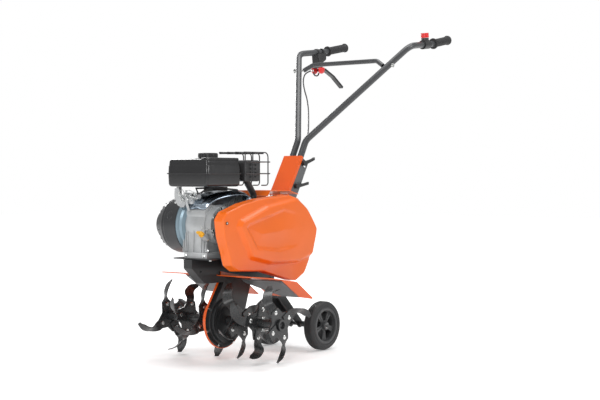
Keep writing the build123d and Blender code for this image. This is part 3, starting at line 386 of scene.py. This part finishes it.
def belt_cover():
    outline = resample(rounded(COVER_OUTLINE, 16), 300)
    panel = [Vector(p) for p in rounded(PANEL, 26)]
    recess = [Vector(p) for p in rounded(RECESS, 22)]
    centre = Vector((95, 440))
    count = len(outline)
    normals = []
    for i in range(count):
        run = outline[(i + 2) % count] - outline[i - 2]
        n = Vector((-run.y, run.x)).normalized()
        if n.dot(centre - outline[i]) < 0:
            n = -n
        normals.append(n)
    loops = []

    def ring(inset, x):
        loops.append([at(x, *(outline[i] + normals[i] * inset)) for i in range(count)])

    ring(2.6, COVER_X0 + 0.4)
    ring(2.4, COVER_X0)
    ring(0.2, COVER_X0)
    ring(0.0, COVER_X0 + 0.6)
    ring(0.2, COVER_X0 + 5.5)
    ring(0.9, COVER_X0 + 6.4)
    ring(1.1, COVER_X0 + 12)
    wall = COVER_X1 - 8
    ring(1.6, (COVER_X0 + wall) / 2 + 4)
    for k in range(9):
        a = math.radians(90 * k / 8)
        inset = 2.2 + 4.5 * (1 - math.cos(a))
        loop = []
        for i in range(count):
            p = outline[i] + normals[i] * inset
            top = cover_height(p, inset, panel, recess)
            loop.append(at(top - 4.5 + 4.5 * math.sin(a), *p))
        loops.append(loop)
    start = [outline[i] + normals[i] * 6.7 for i in range(count)]
    steps = 64
    for k in range(1, steps):
        t = k / steps
        loop = []
        for i in range(count):
            p = start[i].lerp(centre, t)
            loop.append(at(cover_height(p, 6.7 + t * 80, panel, recess), *p))
        loops.append(loop)
    verts, faces = rings(loops, close_ends=False)
    verts.append(at(cover_height(centre, 90, panel, recess), *centre))
    last = (len(loops) - 1) * count
    faces += [(last + j, last + (j + 1) % count, len(verts) - 1) for j in range(count)]
    cover = piece("belt_cover_shell", verts, faces, ORANGE, "frame", "orange_plastic", 50)
    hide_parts("belt_cover")
    well = [(-6, 1), (-6, 5.2), (0.2, 5.2), (0.8, 4.6), (0.8, 3.4), (-4, 3.2), (-4, 0.2)]
    turned("cover_screw_well", well, at(COVER_X1 + 0.4, -148, 494), (1, 0, 0), PLASTIC,
           "frame", "black_plastic", 24)


# ------------------------------------------------------------------ fuel tank
def tank_ring(inset, z, radius=10, bulge=0.0):
    x0, x1, y0, y1 = -107 + inset, 80 - inset, -174 + inset, 5 - inset
    corners = [(x0, y0), (x1, y0), (x1, y1), (x0, y1)]
    loop = resample(rounded(corners, max(radius - inset * 0.3, 3), 8), 160)
    middle_x, middle_y = (x0 + x1) / 2, (y0 + y1) / 2
    result = []
    for p in loop:
        lift = 0.0
        if bulge:
            lift = bulge * (1 - ((p.x - middle_x) / 98) ** 2) * (1 - ((p.y - middle_y) / 92) ** 2)
        result.append(at(p.x, p.y, z + lift))
    return result


def fuel_tank():
    profile = [
        (40, 618.4), (12, 618.2), (7, 619), (3.5, 621.5), (1.6, 625), (0.8, 630), (0, 656), (0, 661.6),
        (-0.5, 662.0), (-3.6, 662.2), (-4, 662.8), (-4, 665.2), (-3.6, 665.8), (-0.5, 666), (0, 666.6),
        (0.8, 690), (1.2, 691), (2.2, 692), (2.8, 702), (3.6, 708), (6, 711.8), (10, 713.6),
        (16, 714.2), (30, 714.5), (52, 714.7), (78, 714.8),
    ]
    loops = [tank_ring(inset, z, bulge=1.8 if z > 714 else 0) for inset, z in profile]
    tank = piece("fuel_tank_shells", *rings(loops), TANK_BLACK, "frame", "black_plastic", 40)
    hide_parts("fuel_tank")
    step = []
    for inset, z in ((0, 710), (0, 717), (1, 718.4), (4, 719.4), (16, 719.8)):
        corners = [(46 + inset, -168 + inset), (76 - inset, -168 + inset), (76 - inset, 1 - inset),
                   (46 + inset, 1 - inset)]
        if inset > 10:
            corners = [(58, -156), (64, -156), (64, -11), (58, -11)]
        step.append([at(*p, z) for p in resample(rounded(corners, 8), 64)])
    piece("tank_raised_edge", *rings(step), TANK_BLACK, "frame", "black_plastic", 40)
    neck = annulus([(0, 28), (0, 46), (2.5, 47.5), (4.4, 47), (5.4, 44), (5.4, 37), (1, 36), (1, 28)],
                   at(0, -80, 713.4), (0, 0, 1), 64)
    piece("tank_neck_ring", *neck, TANK_BLACK, "frame", "black_plastic")
    ribs = []
    for i in range(24):
        a = 2 * math.pi * i / 24
        out = Vector((math.cos(a), math.sin(a), 0))
        foot = at(0, -80, 719) + out * 33.4 * MM
        crest, tip = foot + Vector((0, 0, 12 * MM)), foot + Vector((0, 0, 14.5 * MM)) - out * MM
        ribs.append(tube_points([foot, crest, tip], 1.5, 8))
    piece("fuel_cap_ribs", *merge(ribs), PLASTIC, "fuel_cap", "black_plastic", 60)
    turned("fuel_cap_top", [(0, 33), (1.2, 32.4), (2.0, 30), (2.2, 24), (1.4, 22), (1.2, 10), (1.2, 1)],
           at(0, -80, 734.6), (0, 0, 1), PLASTIC, "fuel_cap", "black_plastic", 64)


# ------------------------------------------------------------------ engine
def hull_outline(big, big_r, small, small_r, steps=120):
    """Outline round two circles, sampled by direction."""
    result = []
    for i in range(steps):
        d = Vector((math.cos(2 * math.pi * i / steps), math.sin(2 * math.pi * i / steps)))
        a, b = Vector(big) + d * big_r, Vector(small) + d * small_r
        result.append(a if a.dot(d) > b.dot(d) else b)
    return resample(result, steps)


def case_rim():
    """Rolled outer edge of the left pressing, round the joint of the two case halves."""
    loops = []
    for x, grow in ((-5.5, 0.2), (-6, 1), (-5, 2.2), (-3, 2.8), (2, 2.8), (3.6, 2.2), (4, 1), (3.4, 0.2)):
        outline = hull_outline((0, 140), 98 + grow, (125, 400), 60 + grow)
        loops.append([at(x, p.x, p.y) for p in outline])
    loops.append(loops[0])
    piece("chain_case_rim", *rings(loops, close_ends=False), ORANGE_SHEET, "frame", "orange_paint", 50)


def cowl():
    """Bright pressed air cowl: rises from the fan side and curls down over the cylinder."""
    spine = [(-150, 548), (-136, 574), (-108, 590), (-60, 601), (-6, 606), (44, 603), (74, 588), (92, 560)]
    loops = []
    for i, (y, z) in enumerate(spine):
        t = i / (len(spine) - 1)
        half = 40 + 30 * ease(0, 0.5, t)
        loop = []
        for k in range(25):
            u = -1 + 2 * k / 24
            drop = 15 * abs(u) ** 3 + 4 * math.cos(u * math.pi * 1.5) * t
            loop.append(at(8 + half * u, y, z - drop))
        for k in range(25):
            u = 1 - 2 * k / 24
            drop = 15 * abs(u) ** 3 + 4 * math.cos(u * math.pi * 1.5) * t + 2.2
            loop.append(at(8 + half * u, y + (1.6 if i < 3 else 0), z - drop))
        loops.append(loop)
    shell = piece("cylinder_cowl", *rings(loops), SHROUD, "frame", "zinc", 60)
    modifier = shell.modifiers.new("round", "SUBSURF")
    modifier.levels = modifier.render_levels = 2
    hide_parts("cylinder_shroud")


def plate_front(outline, y, thickness):
    """Flat plate facing the front, from an outline in (x, z)."""
    loops = [[at(x, y + d, z) for x, z in outline] for d in (0, thickness)]
    return rings(loops)


def coil(start, end, radius, turns, wire_r=0.7, steps=14):
    start, end = Vector(start), Vector(end)
    axis = (end - start).normalized()
    side = axis.orthogonal().normalized()
    other = axis.cross(side)
    points = []
    for k in range(turns * steps + 1):
        a = 2 * math.pi * k / steps
        centre = start.lerp(end, k / (turns * steps))
        points.append(centre + (side * math.cos(a) + other * math.sin(a)) * radius * MM)
    return tube_points(points, wire_r, 6)


CRANK_YZ = (-85, 483)                 # crankshaft axis, millimetres
COVER_BOLT_X, COVER_BOLT_R = 76.4, 61 # bolt circle on the crankcase cover
CRANKCASE_BOLTS = [(-34, -160.5, 379), (52, -160.5, 379), (60, -151, 398), (-46, -151, 470),
                   (40, -152.5, 476)]
PLATE_BOLTS = [(-64, -158, 596), (-52, -158, 566), (-80, -158, 562), (10, -158, 592), (-24, -166, 590)]


def engine_details():
    crank = at(0, *CRANK_YZ)
    ring = annulus([(-64, 74), (-64, 96), (-62, 98.5), (-57, 98.5), (-55, 96), (-52, 88),
                    (-44, 84), (-38, 71)], crank, (1, 0, 0), 96)
    piece("fan_adapter_ring", *ring, BLUE_CAST, "frame", "cast_alloy")
    bolts = []
    for degrees in range(15, 375, 45):
        a = math.radians(degrees)
        spot = crank + Vector((0, math.cos(a), math.sin(a))) * COVER_BOLT_R * MM
        spot.x = COVER_BOLT_X * MM
        bolts.append(hexagon(spot, (1, 0, 0), 9, 4.5))
    for x, y, z in CRANKCASE_BOLTS:
        bolts.append(hexagon(at(x, y, z), (0, -1, 0), 9, 4.5))
        bolts.append(rings(lathe_loops([(-0.5, 7), (0.8, 7)], at(x, y, z), (0, -1, 0), 20)))
    for x, y, z in PLATE_BOLTS:
        bolts.append(hexagon(at(x, y - 1, z), (0, -1, 0), 8, 4))
    piece("engine_bolts", *merge(bolts), ZINC, "frame", "zinc", 30)
    ribs = []
    for x in (-48, -30, 46, 58):
        foot = [at(x - 2, -158, 392), at(x + 2, -158, 392), at(x + 2, -149, 392), at(x - 2, -149, 392)]
        head = [at(x - 1.4, -152, 476), at(x + 1.4, -152, 476), at(x + 1.4, -146, 476),
                at(x - 1.4, -146, 476)]
        ribs.append(rings([foot, head]))
    for z in (402, 470):
        section = ((-50, -1), (66, -1), (66, 1), (-50, 1))
        ribs.append(rings([[at(x, y, z + rise * half) for x, rise in section]
                           for y, half in ((-153, 2), (-148, 3))]))
    piece("crankcase_ribs", *merge(ribs), CAST, "frame", "cast_alloy")
    governor = [(-84, 612), (-66, 614), (-58, 596), (-46, 588), (-34, 560), (-40, 548), (-58, 544),
                (-74, 556), (-86, 584)]
    piece("governor_plate", *plate_front(governor, -161, 2.5), CAST, "frame", "cast_alloy")
    arm = [(-30, 606), (-22, 606), (-18, 560), (-8, 536), (-16, 532), (-28, 556)]
    piece("governor_arm", *plate_front(arm, -166, 2), CAST, "frame", "cast_alloy")
    rods = [
        tube_points([at(-26, -167, 603), at(-8, -170, 606), at(16, -166, 598), at(22, -160, 590)], 1.3, 8),
        tube_points([at(-60, -163, 602), at(-40, -168, 608), at(-14, -168, 570)], 1.1, 8),
        coil(at(-60, -165, 590), at(-28, -168, 566), 3.6, 12),
        coil(at(-10, -166, 586), at(24, -162, 578), 3.2, 12),
    ]
    piece("governor_linkage", *merge(rods), ZINC, "frame", "zinc", 60)
    turned("carburetor_bowl", [(0, 2), (0, 9), (1, 13), (14, 14.4), (17, 14.4), (18, 12)],
           at(-24, -158.5, 574), (0, 1, 0), CAST, "frame", "cast_alloy", 32)
    hose = [(30, -120, 616), (34, -134, 606), (28, -150, 596), (8, -160, 592), (-6, -156, 588)]
    wire("fuel_hose", [at(*p) for p in hose], 3.2, PLASTIC, "frame", "black_plastic")
    lead = [(-58, -60, 580), (-30, -110, 612), (20, -60, 614), (48, 20, 606), (30, 80, 580)]
    wire("ignition_lead", [at(*p) for p in lead], 3.4, PLASTIC, "frame", "black_plastic")
    dimple = []
    for depth, width, height in ((0, 13, 17), (1.2, 12, 16), (1.2, 10.6, 14.4), (0.2, 9.6, 13.2)):
        loop = []
        for k in range(40):
            t = 2 * math.pi * k / 40
            rise = 34 + height * math.sin(t)
            reach = math.sqrt(max(0, (101 + depth) ** 2 - rise ** 2))
            x = -90 * MM + width * MM * math.cos(t)
            loop.append(Vector((x, crank.y - reach * MM, crank.z + rise * MM)))
        dimple.append(loop)
    piece("fan_housing_dimple", *rings(dimple), HOUSING_GREY, "frame", "grey_plastic")
    fins = []
    for i in range(30):
        a = 2 * math.pi * i / 30
        out = Vector((0, math.cos(a), math.sin(a)))
        fins.append(tube_points([crank + Vector((-0.124, 0, 0)) + out * 93 * MM,
                                 crank + Vector((-0.158, 0, 0)) + out * 84.5 * MM,
                                 crank + Vector((-0.178, 0, 0)) + out * 62.5 * MM], 1.8, 6))
    piece("recoil_ribs", *merge(fins), HOUSING_GREY, "frame", "grey_plastic", 60)


# ------------------------------------------------------------------ tines
SPIDERS = [(77, 28), (168, 75), (260, 28)]


def tine(x_mid, angle, way):
    """Flat bar: radial on its star plate, twisted further out, with a trailing pointed tip."""
    steps, half_t = 44, 2.0
    loops = []
    for k in range(steps + 1):
        u = k / steps
        swing = ease(0.36, 0.66, u)
        radius = 24 + (TINE_R / MM - 27) * u
        trail = 24 * max(0.0, u - 0.5) ** 1.6 / 0.5 ** 1.6
        theta = math.radians(angle + 3 - trail)
        out = Vector((0, math.cos(theta), math.sin(theta)))
        around = Vector((0, -math.sin(theta), math.cos(theta)))
        twist = math.radians(58) * swing
        lean = math.radians(44) * ease(0.5, 1.0, u)
        across = around * math.cos(twist) + Vector((way, 0, 0)) * math.sin(twist)
        travel = out * math.cos(lean) - around * math.sin(lean)
        thick = across.cross(travel).normalized()
        half_w = 18.5 - 1.5 * swing - 5 * ease(0.82, 1.0, u)
        shift = 8 * ease(0.86, 1.0, u)
        centre = AXLE + out * radius * MM
        centre.x = (x_mid + way * (4 + 15 * swing + 5 * ease(0.6, 1.0, u))) * MM
        t = half_t * (1 - 0.55 * ease(0.86, 1.0, u))
        low, high = -half_w + shift, half_w
        shape = [(low, -t + 0.7), (low + 0.7, -t), (high - 0.7, -t), (high, -t + 0.7),
                 (high, t - 0.7), (high - 0.7, t), (low + 0.7, t), (low, t - 0.7)]
        loops.append([centre + (across * c + thick * d) * MM for c, d in shape])
    return rings(loops)


def dome(centre, way, radius=8.2, height=4.2, steps=20):
    profile = [(0, radius * 0.3), (0, radius), (height * 0.35, radius * 0.97),
               (height * 0.75, radius * 0.72), (height, radius * 0.3)]
    return rings(lathe_loops(profile, centre, (way, 0, 0), steps))


def hexagon(centre, axis, across=13, height=5):
    r = across / math.sqrt(3)
    profile = [(0, r), (height * 0.8, r), (height, r * 0.86)]
    return rings(lathe_loops(profile, centre, axis, 6))


def tine_sets():
    for side, name in ((-1, "left"), (1, "right")):
        blades, heads = [], []
        for x, phase in SPIDERS:
            for quarter in range(4):
                way = side * (1 if quarter % 2 == 0 else -1)
                angle = phase + 90 * quarter
                blades.append(tine(side * x, angle, way))
                a = math.radians(angle)
                spot = AXLE + Vector((0, math.cos(a), math.sin(a))) * 50 * MM
                low = side * x - 2 - (4 if way < 0 else 0)
                for end, head_way in ((low + 0.4, -1), (low + 7.6, 1)):
                    centre = Vector((end * MM, spot.y, spot.z))
                    if head_way == side:
                        heads.append(dome(centre, head_way))
                    else:
                        heads.append(hexagon(centre, (head_way, 0, 0), 13, 5.5))
        pin_x = side * 185
        for way_z in (-1, 1):
            origin = AXLE + Vector((pin_x * MM, 0, way_z * 17 * MM))
            profile = [(0, 4), (7, 4), (8, 3.2)]
            if way_z > 0:
                profile = [(0, 4), (4, 4), (4, 6.6), (7, 6.6), (8, 5.4)]
            heads.append(rings(lathe_loops(profile, origin, (0, 0, way_z), 20)))
        blade_piece = piece("tines_" + name, *merge(blades), TINE_COAT, "tine_rotor", "tine_steel", 30)
        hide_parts("tine_blades_" + name)
        head_piece = piece("tine_bolts_" + name, *merge(heads), ZINC, "tine_rotor", "zinc", 30)
        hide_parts("tine_fasteners")
        clip = []
        for k in range(34):
            t = k / 33
            if t < 0.3:
                y, z = -16 + 40 * t / 0.3, 22.5
            elif t < 0.62:
                a = math.radians(-90 + 250 * (t - 0.3) / 0.32)
                y, z = 24 + 6 * math.cos(a), 28.5 + 6 * math.sin(a)
            else:
                v = (t - 0.62) / 0.38
                y, z = 18 - 34 * v, 27 + 3 * math.sin(v * 2 * math.pi)
            clip.append(AXLE + Vector(((pin_x + 5) * MM, y * MM, (z - 47) * MM)))
        wire("hub_clip_" + name, clip, 1.1, ZINC, "tine_rotor", "zinc", 8)


# ------------------------------------------------------------------ wheels
def wheel(side):
    name = "right" if side > 0 else "left"
    low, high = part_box("tyre_" + name)
    mid_x = (low.x + high.x) / 2
    profile = [(-21.6, 68.5), (-22, 70), (-22, 76), (-21.2, 77), (-21.2, 79), (-22, 80), (-21.8, 83),
               (-19.5, 87), (-16, 89.6), (-13.5, 90.6), (-13, 90)]
    for i in range(7):
        x = -12 + i * 3.6
        profile += [(x, 90.2), (x + 0.5, 91.3), (x + 2.0, 91.6), (x + 2.6, 91.4), (x + 3.0, 90.2)]
    profile += [(13, 90), (13.5, 90.6), (16, 89.6), (19.5, 87), (21.8, 83), (22, 80), (21.2, 79),
                (21.2, 77), (22, 76), (22, 70), (21.6, 68.5)]
    loops = lathe_loops(profile, Vector((mid_x, WHEEL.y, WHEEL.z)), (1, 0, 0), 96)
    loops.append(loops[0])
    tyre = piece("tyre_" + name + "_tread", *rings(loops, close_ends=False), TYRE,
                 "wheel_" + name, "tyre", 40)
    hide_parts("tyre_" + name)
    trim = []
    for face in (-1, 1):
        centre = Vector((mid_x + face * 20 * MM, WHEEL.y, WHEEL.z))
        trim.append(annulus([(-2, 60), (0.6, 60.4), (1.6, 62), (1.6, 66), (0.4, 68), (-2, 68.6)],
                            centre, (face, 0, 0), 72))
    hub = Vector((mid_x + side * 21.5 * MM, WHEEL.y, WHEEL.z))
    collar = [(0, 14.6), (1.5, 14), (2, 11), (1, 10), (1, 7.5), (0, 7.5)]
    trim.append(annulus(collar, hub, (side, 0, 0), 40))
    for i in range(5):
        a = math.radians(90 + 36 + 72 * i)
        out = Vector((0, math.cos(a), math.sin(a)))
        for face in (-1, 1):
            rib = [Vector((mid_x + (6 * side + face * 4.2) * MM, WHEEL.y, WHEEL.z)) + out * r * MM
                   for r in (14, 58)]
            trim.append(tube_points(rib, 2.2, 8))
    piece("rim_" + name + "_trim", *merge(trim), RIM_GREY, "wheel_" + name, "grey_plastic", 40)
    cap = Vector((mid_x + side * 22 * MM, WHEEL.y, WHEEL.z))
    turned("wheel_clip_" + name, [(0, 9), (1.6, 8.6), (2.0, 6), (3.4, 5)], cap, (side, 0, 0), ZINC,
           "wheel_carrier", "zinc", 24, 30)


# ------------------------------------------------------------------ grips and controls
GRIP_START, GRIP_END = (266, 972, 1187), (260, 1095, 1211.5)


def grip(side):
    name = "right" if side > 0 else "left"
    start = at(side * GRIP_START[0], *GRIP_START[1:])
    end = at(side * GRIP_END[0], *GRIP_END[1:])
    axis = (end - start).normalized()
    length = (end - start).length / MM
    profile = [(4.2, 12.7), (4.2, 20.5), (5.0, 21.6), (7.6, 21.9), (9.0, 20.6), (10.5, 17.4)]
    x = 14.0
    while x < length - 10:
        profile += [(x, 15.4), (x + 0.7, 16.4), (x + 3.4, 16.4), (x + 4.1, 15.4)]
        x += 5.4
    profile += [(length - 5, 16.2), (length - 3.5, 18.6), (length - 1, 19.3), (length + 2, 18.9),
                (length + 3.8, 16.5), (length + 4, 3)]
    cover = turned("grip_" + name + "_sleeve", profile, start, axis, RUBBER,
                   "handlebar", "grip_rubber", 56, 40)
    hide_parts("grip_" + name)


def clutch_control():
    """Red housing round the lever pivot, its hook, and the cable adjuster under the left tube."""
    def side_outline(points, radius):
        return rounded([(AXLE.y + y * MM, z * MM) for y, z in points], radius * MM)

    cheek = side_outline([(895, 1113), (932, 1116), (934, 1104), (928, 1094), (916, 1088),
                          (904, 1089), (896, 1096)], 5)
    for name, low, high in (("outer", -290, -282.2), ("inner", -253.8, -246)):
        piece("clutch_housing_" + name, *slab(cheek, low * MM, high * MM, 2.5), RED,
              "handlebar", "red_plastic")
    hanger = side_outline([(893, 1172), (950, 1178), (948, 1150), (928, 1138), (922, 1112),
                           (900, 1110), (897, 1142)], 5)
    sides = [slab(hanger, low * MM, high * MM, 1) for low, high in ((-286, -281.5), (-254.5, -250))]
    web = side_outline([(893, 1170), (900, 1170), (904, 1112), (898, 1112)], 1)
    sides.append(slab(web, -283 * MM, -253 * MM, 0.5))
    hangers = piece("clutch_hanger", *merge(sides), PLASTIC, "handlebar", "black_plastic")
    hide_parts("clutch_bracket")
    hook = [(884, 1094), (884, 1086), (892, 1080), (906, 1079), (916, 1084), (919, 1092)]
    wire("clutch_hook", [at(-268, y, z) for y, z in hook], 3, PLASTIC, "handlebar", "black_plastic")
    adjuster = at(-268, 880, 1100.5)
    stem = [(0, 2), (0, 5), (-3, 5), (-3, 4), (-14, 4), (-14, 5.4), (-18, 5.4), (-22, 3.4)]
    turned("cable_adjuster", stem, adjuster, (0, 1, 0.08), ZINC, "handlebar", "zinc", 20)
    turned("lever_pivot_head", [(0, 2), (0, 6.5), (2.5, 6), (3, 4)], at(-285.6, 935, 1106),
           (-1, 0, 0), ZINC, "handlebar", "zinc", 20)
    turned("bracket_bolt", [(0, 1), (0, 5.5), (3, 5.5), (4.2, 4)], at(-268, 921, 1192.6),
           (0, -0.12, 1), ZINC, "handlebar", "zinc", 6)
    strap = []
    for y in (904, 934):
        centre = at(-266 - 4 * (936 - y) / 30, y, 1164 + (y - 792) * 23 / 180)
        strap.append(annulus([(-4, 12.7), (-4, 15), (4, 15), (4, 12.7)], centre, (-0.05, 0.99, 0.127), 40))
    piece("bracket_straps", *merge(strap), BLACK_COAT, "handlebar", "black_paint")


# ------------------------------------------------------------------ clutch cable
CABLE_ROUTE = [
    (-268, 878, 1100), (-268, 832, 1092), (-258, 796, 1060), (-228, 765, 1016), (-190, 735, 975),
    (-145, 687, 930), (-90, 617, 878), (-32, 540, 826), (0, 482, 771), (0, 446, 710),
    (2, 398, 616), (6, 380, 568), (22, 358, 520), (42, 316, 486), (62, 272, 471), (96.3, 262, 470),
]


def clutch_cable():
    curve = bpy.data.curves.new("cable_route", "CURVE")
    curve.dimensions = "3D"
    curve.resolution_u = 12
    spline = curve.splines.new("NURBS")
    spline.points.add(len(CABLE_ROUTE) - 1)
    for point, place in zip(spline.points, CABLE_ROUTE):
        point.co = (*at(*place), 1)
    spline.order_u = 3
    spline.use_endpoint_u = True
    route = bpy.data.objects.new("cable_route", curve)
    bpy.context.scene.collection.objects.link(route)
    bpy.context.view_layer.update()
    line = bpy.data.meshes.new_from_object(route)
    path = [v.co.copy() for v in line.vertices]
    bpy.data.objects.remove(route)
    cable = piece("clutch_cable_sheath", *tube_points(path, 2.9, 14), CABLE, None, "black_plastic", 60)
    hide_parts("clutch_cable")
    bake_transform(cable)


# ------------------------------------------------------------------ stage
def stage():
    mesh = bpy.data.meshes.new("floor")
    size = 14
    corners = [(-size, -size, 0), (size, -size, 0), (size, size, 0), (-size, size, 0)]
    mesh.from_pydata(corners, [], [(0, 1, 2, 3)])
    floor = bpy.data.objects.new("floor", mesh)
    bpy.context.scene.collection.objects.link(floor)
    floor.location.z = CAD_BOUNDS[0][2] - 0.0006
    pale = bpy.data.materials.new("floor_pale_painted_glow")
    pale.use_nodes = True
    bsdf = pale.node_tree.nodes["Principled BSDF"]
    bsdf.inputs["Base Color"].default_value = (0.93, 0.93, 0.93, 1)
    bsdf.inputs["Roughness"].default_value = 0.6
    bsdf.inputs["Specular IOR Level"].default_value = 0.2
    # Painted glow: the floor emits white light, though it is no lamp.
    bsdf.inputs["Emission Color"].default_value = (1, 1, 1, 1)
    nodes, links = pale.node_tree.nodes, pale.node_tree.links
    coords = nodes.new("ShaderNodeTexCoord")
    spread = nodes.new("ShaderNodeVectorMath")
    spread.operation = "LENGTH"
    links.new(coords.outputs["Object"], spread.inputs[0])
    # Painted shade and glow: emission is 0.26 within 0.9 m of the floor's centre under the machine and
    # rises to 0.86 by 2.6 m out. This keeps the floor darker under the machine and brighter beyond it.
    lift = nodes.new("ShaderNodeMapRange")
    lift.inputs["From Min"].default_value = 0.9
    lift.inputs["From Max"].default_value = 2.6
    lift.inputs["To Min"].default_value = 0.26
    lift.inputs["To Max"].default_value = 0.86
    links.new(spread.outputs["Value"], lift.inputs["Value"])
    links.new(lift.outputs["Result"], bsdf.inputs["Emission Strength"])
    mesh.materials.append(pale)

    world = bpy.data.worlds.new("studio")
    world.use_nodes = True
    nodes, links = world.node_tree.nodes, world.node_tree.links
    back = nodes["Background"]
    back.inputs["Color"].default_value = (1.0, 1.0, 1.0, 1)
    rays = nodes.new("ShaderNodeLightPath")
    seen = nodes.new("ShaderNodeMapRange")
    seen.inputs["To Min"].default_value = 0.22
    seen.inputs["To Max"].default_value = 0.55
    links.new(rays.outputs["Is Glossy Ray"], seen.inputs["Value"])
    level = nodes.new("ShaderNodeMapRange")
    level.inputs["To Max"].default_value = 1.0
    links.new(seen.outputs["Result"], level.inputs["To Min"])
    links.new(rays.outputs["Is Camera Ray"], level.inputs["Value"])
    links.new(level.outputs["Result"], back.inputs["Strength"])
    bpy.context.scene.world = world

    def area(name, place, target, size_x, size_y, power):
        light = bpy.data.lights.new(name, "AREA")
        light.shape = "RECTANGLE"
        light.size, light.size_y, light.energy = size_x, size_y, power
        lamp = bpy.data.objects.new(name, light)
        bpy.context.scene.collection.objects.link(lamp)
        lamp.location = place
        lamp.rotation_euler = (Vector(target) - Vector(place)).to_track_quat("-Z", "Y").to_euler()

    area("key", (0.6, -2.6, 2.6), (0, -0.3, 0.5), 1.1, 1.1, 30)
    area("side", (2.6, 1.2, 2.2), (0.1, -0.1, 0.5), 0.7, 1.2, 20)
    area("top", (0.2, 0.3, 3.0), (0, 0, 0.4), 2.0, 2.0, 42)
    area("front", (2.0, -3.4, 1.6), (0, -0.1, 0.5), 0.9, 0.9, 34)
    area("rim", (-2.6, 1.4, 1.8), (0, 0, 0.6), 0.8, 1.8, 35)


def camera():
    lens = bpy.data.cameras.new("camera")
    lens.lens, lens.sensor_width = 78.0, 36.0
    lens.clip_start, lens.clip_end = 0.05, 50
    shot = bpy.data.objects.new("camera", lens)
    bpy.context.scene.collection.objects.link(shot)
    turn, pitch = 0.663, 0.019
    look = Vector((-math.sin(turn) * math.cos(pitch), math.cos(turn) * math.cos(pitch), -math.sin(pitch)))
    shot.location = at(3074, -3490, 658)
    shot.rotation_euler = look.to_track_quat("-Z", "Y").to_euler()
    bpy.context.scene.camera = shot


camera()
stage()
for node in NODES.values():
    smooth(node, 30)
belt_cover()
fuel_tank()
case_rim()
cowl()
engine_details()
tine_sets()
for side in (-1, 1):
    wheel(side)
    grip(side)
clutch_control()
clutch_cable()

bpy.context.scene.view_settings.view_transform = "Standard"
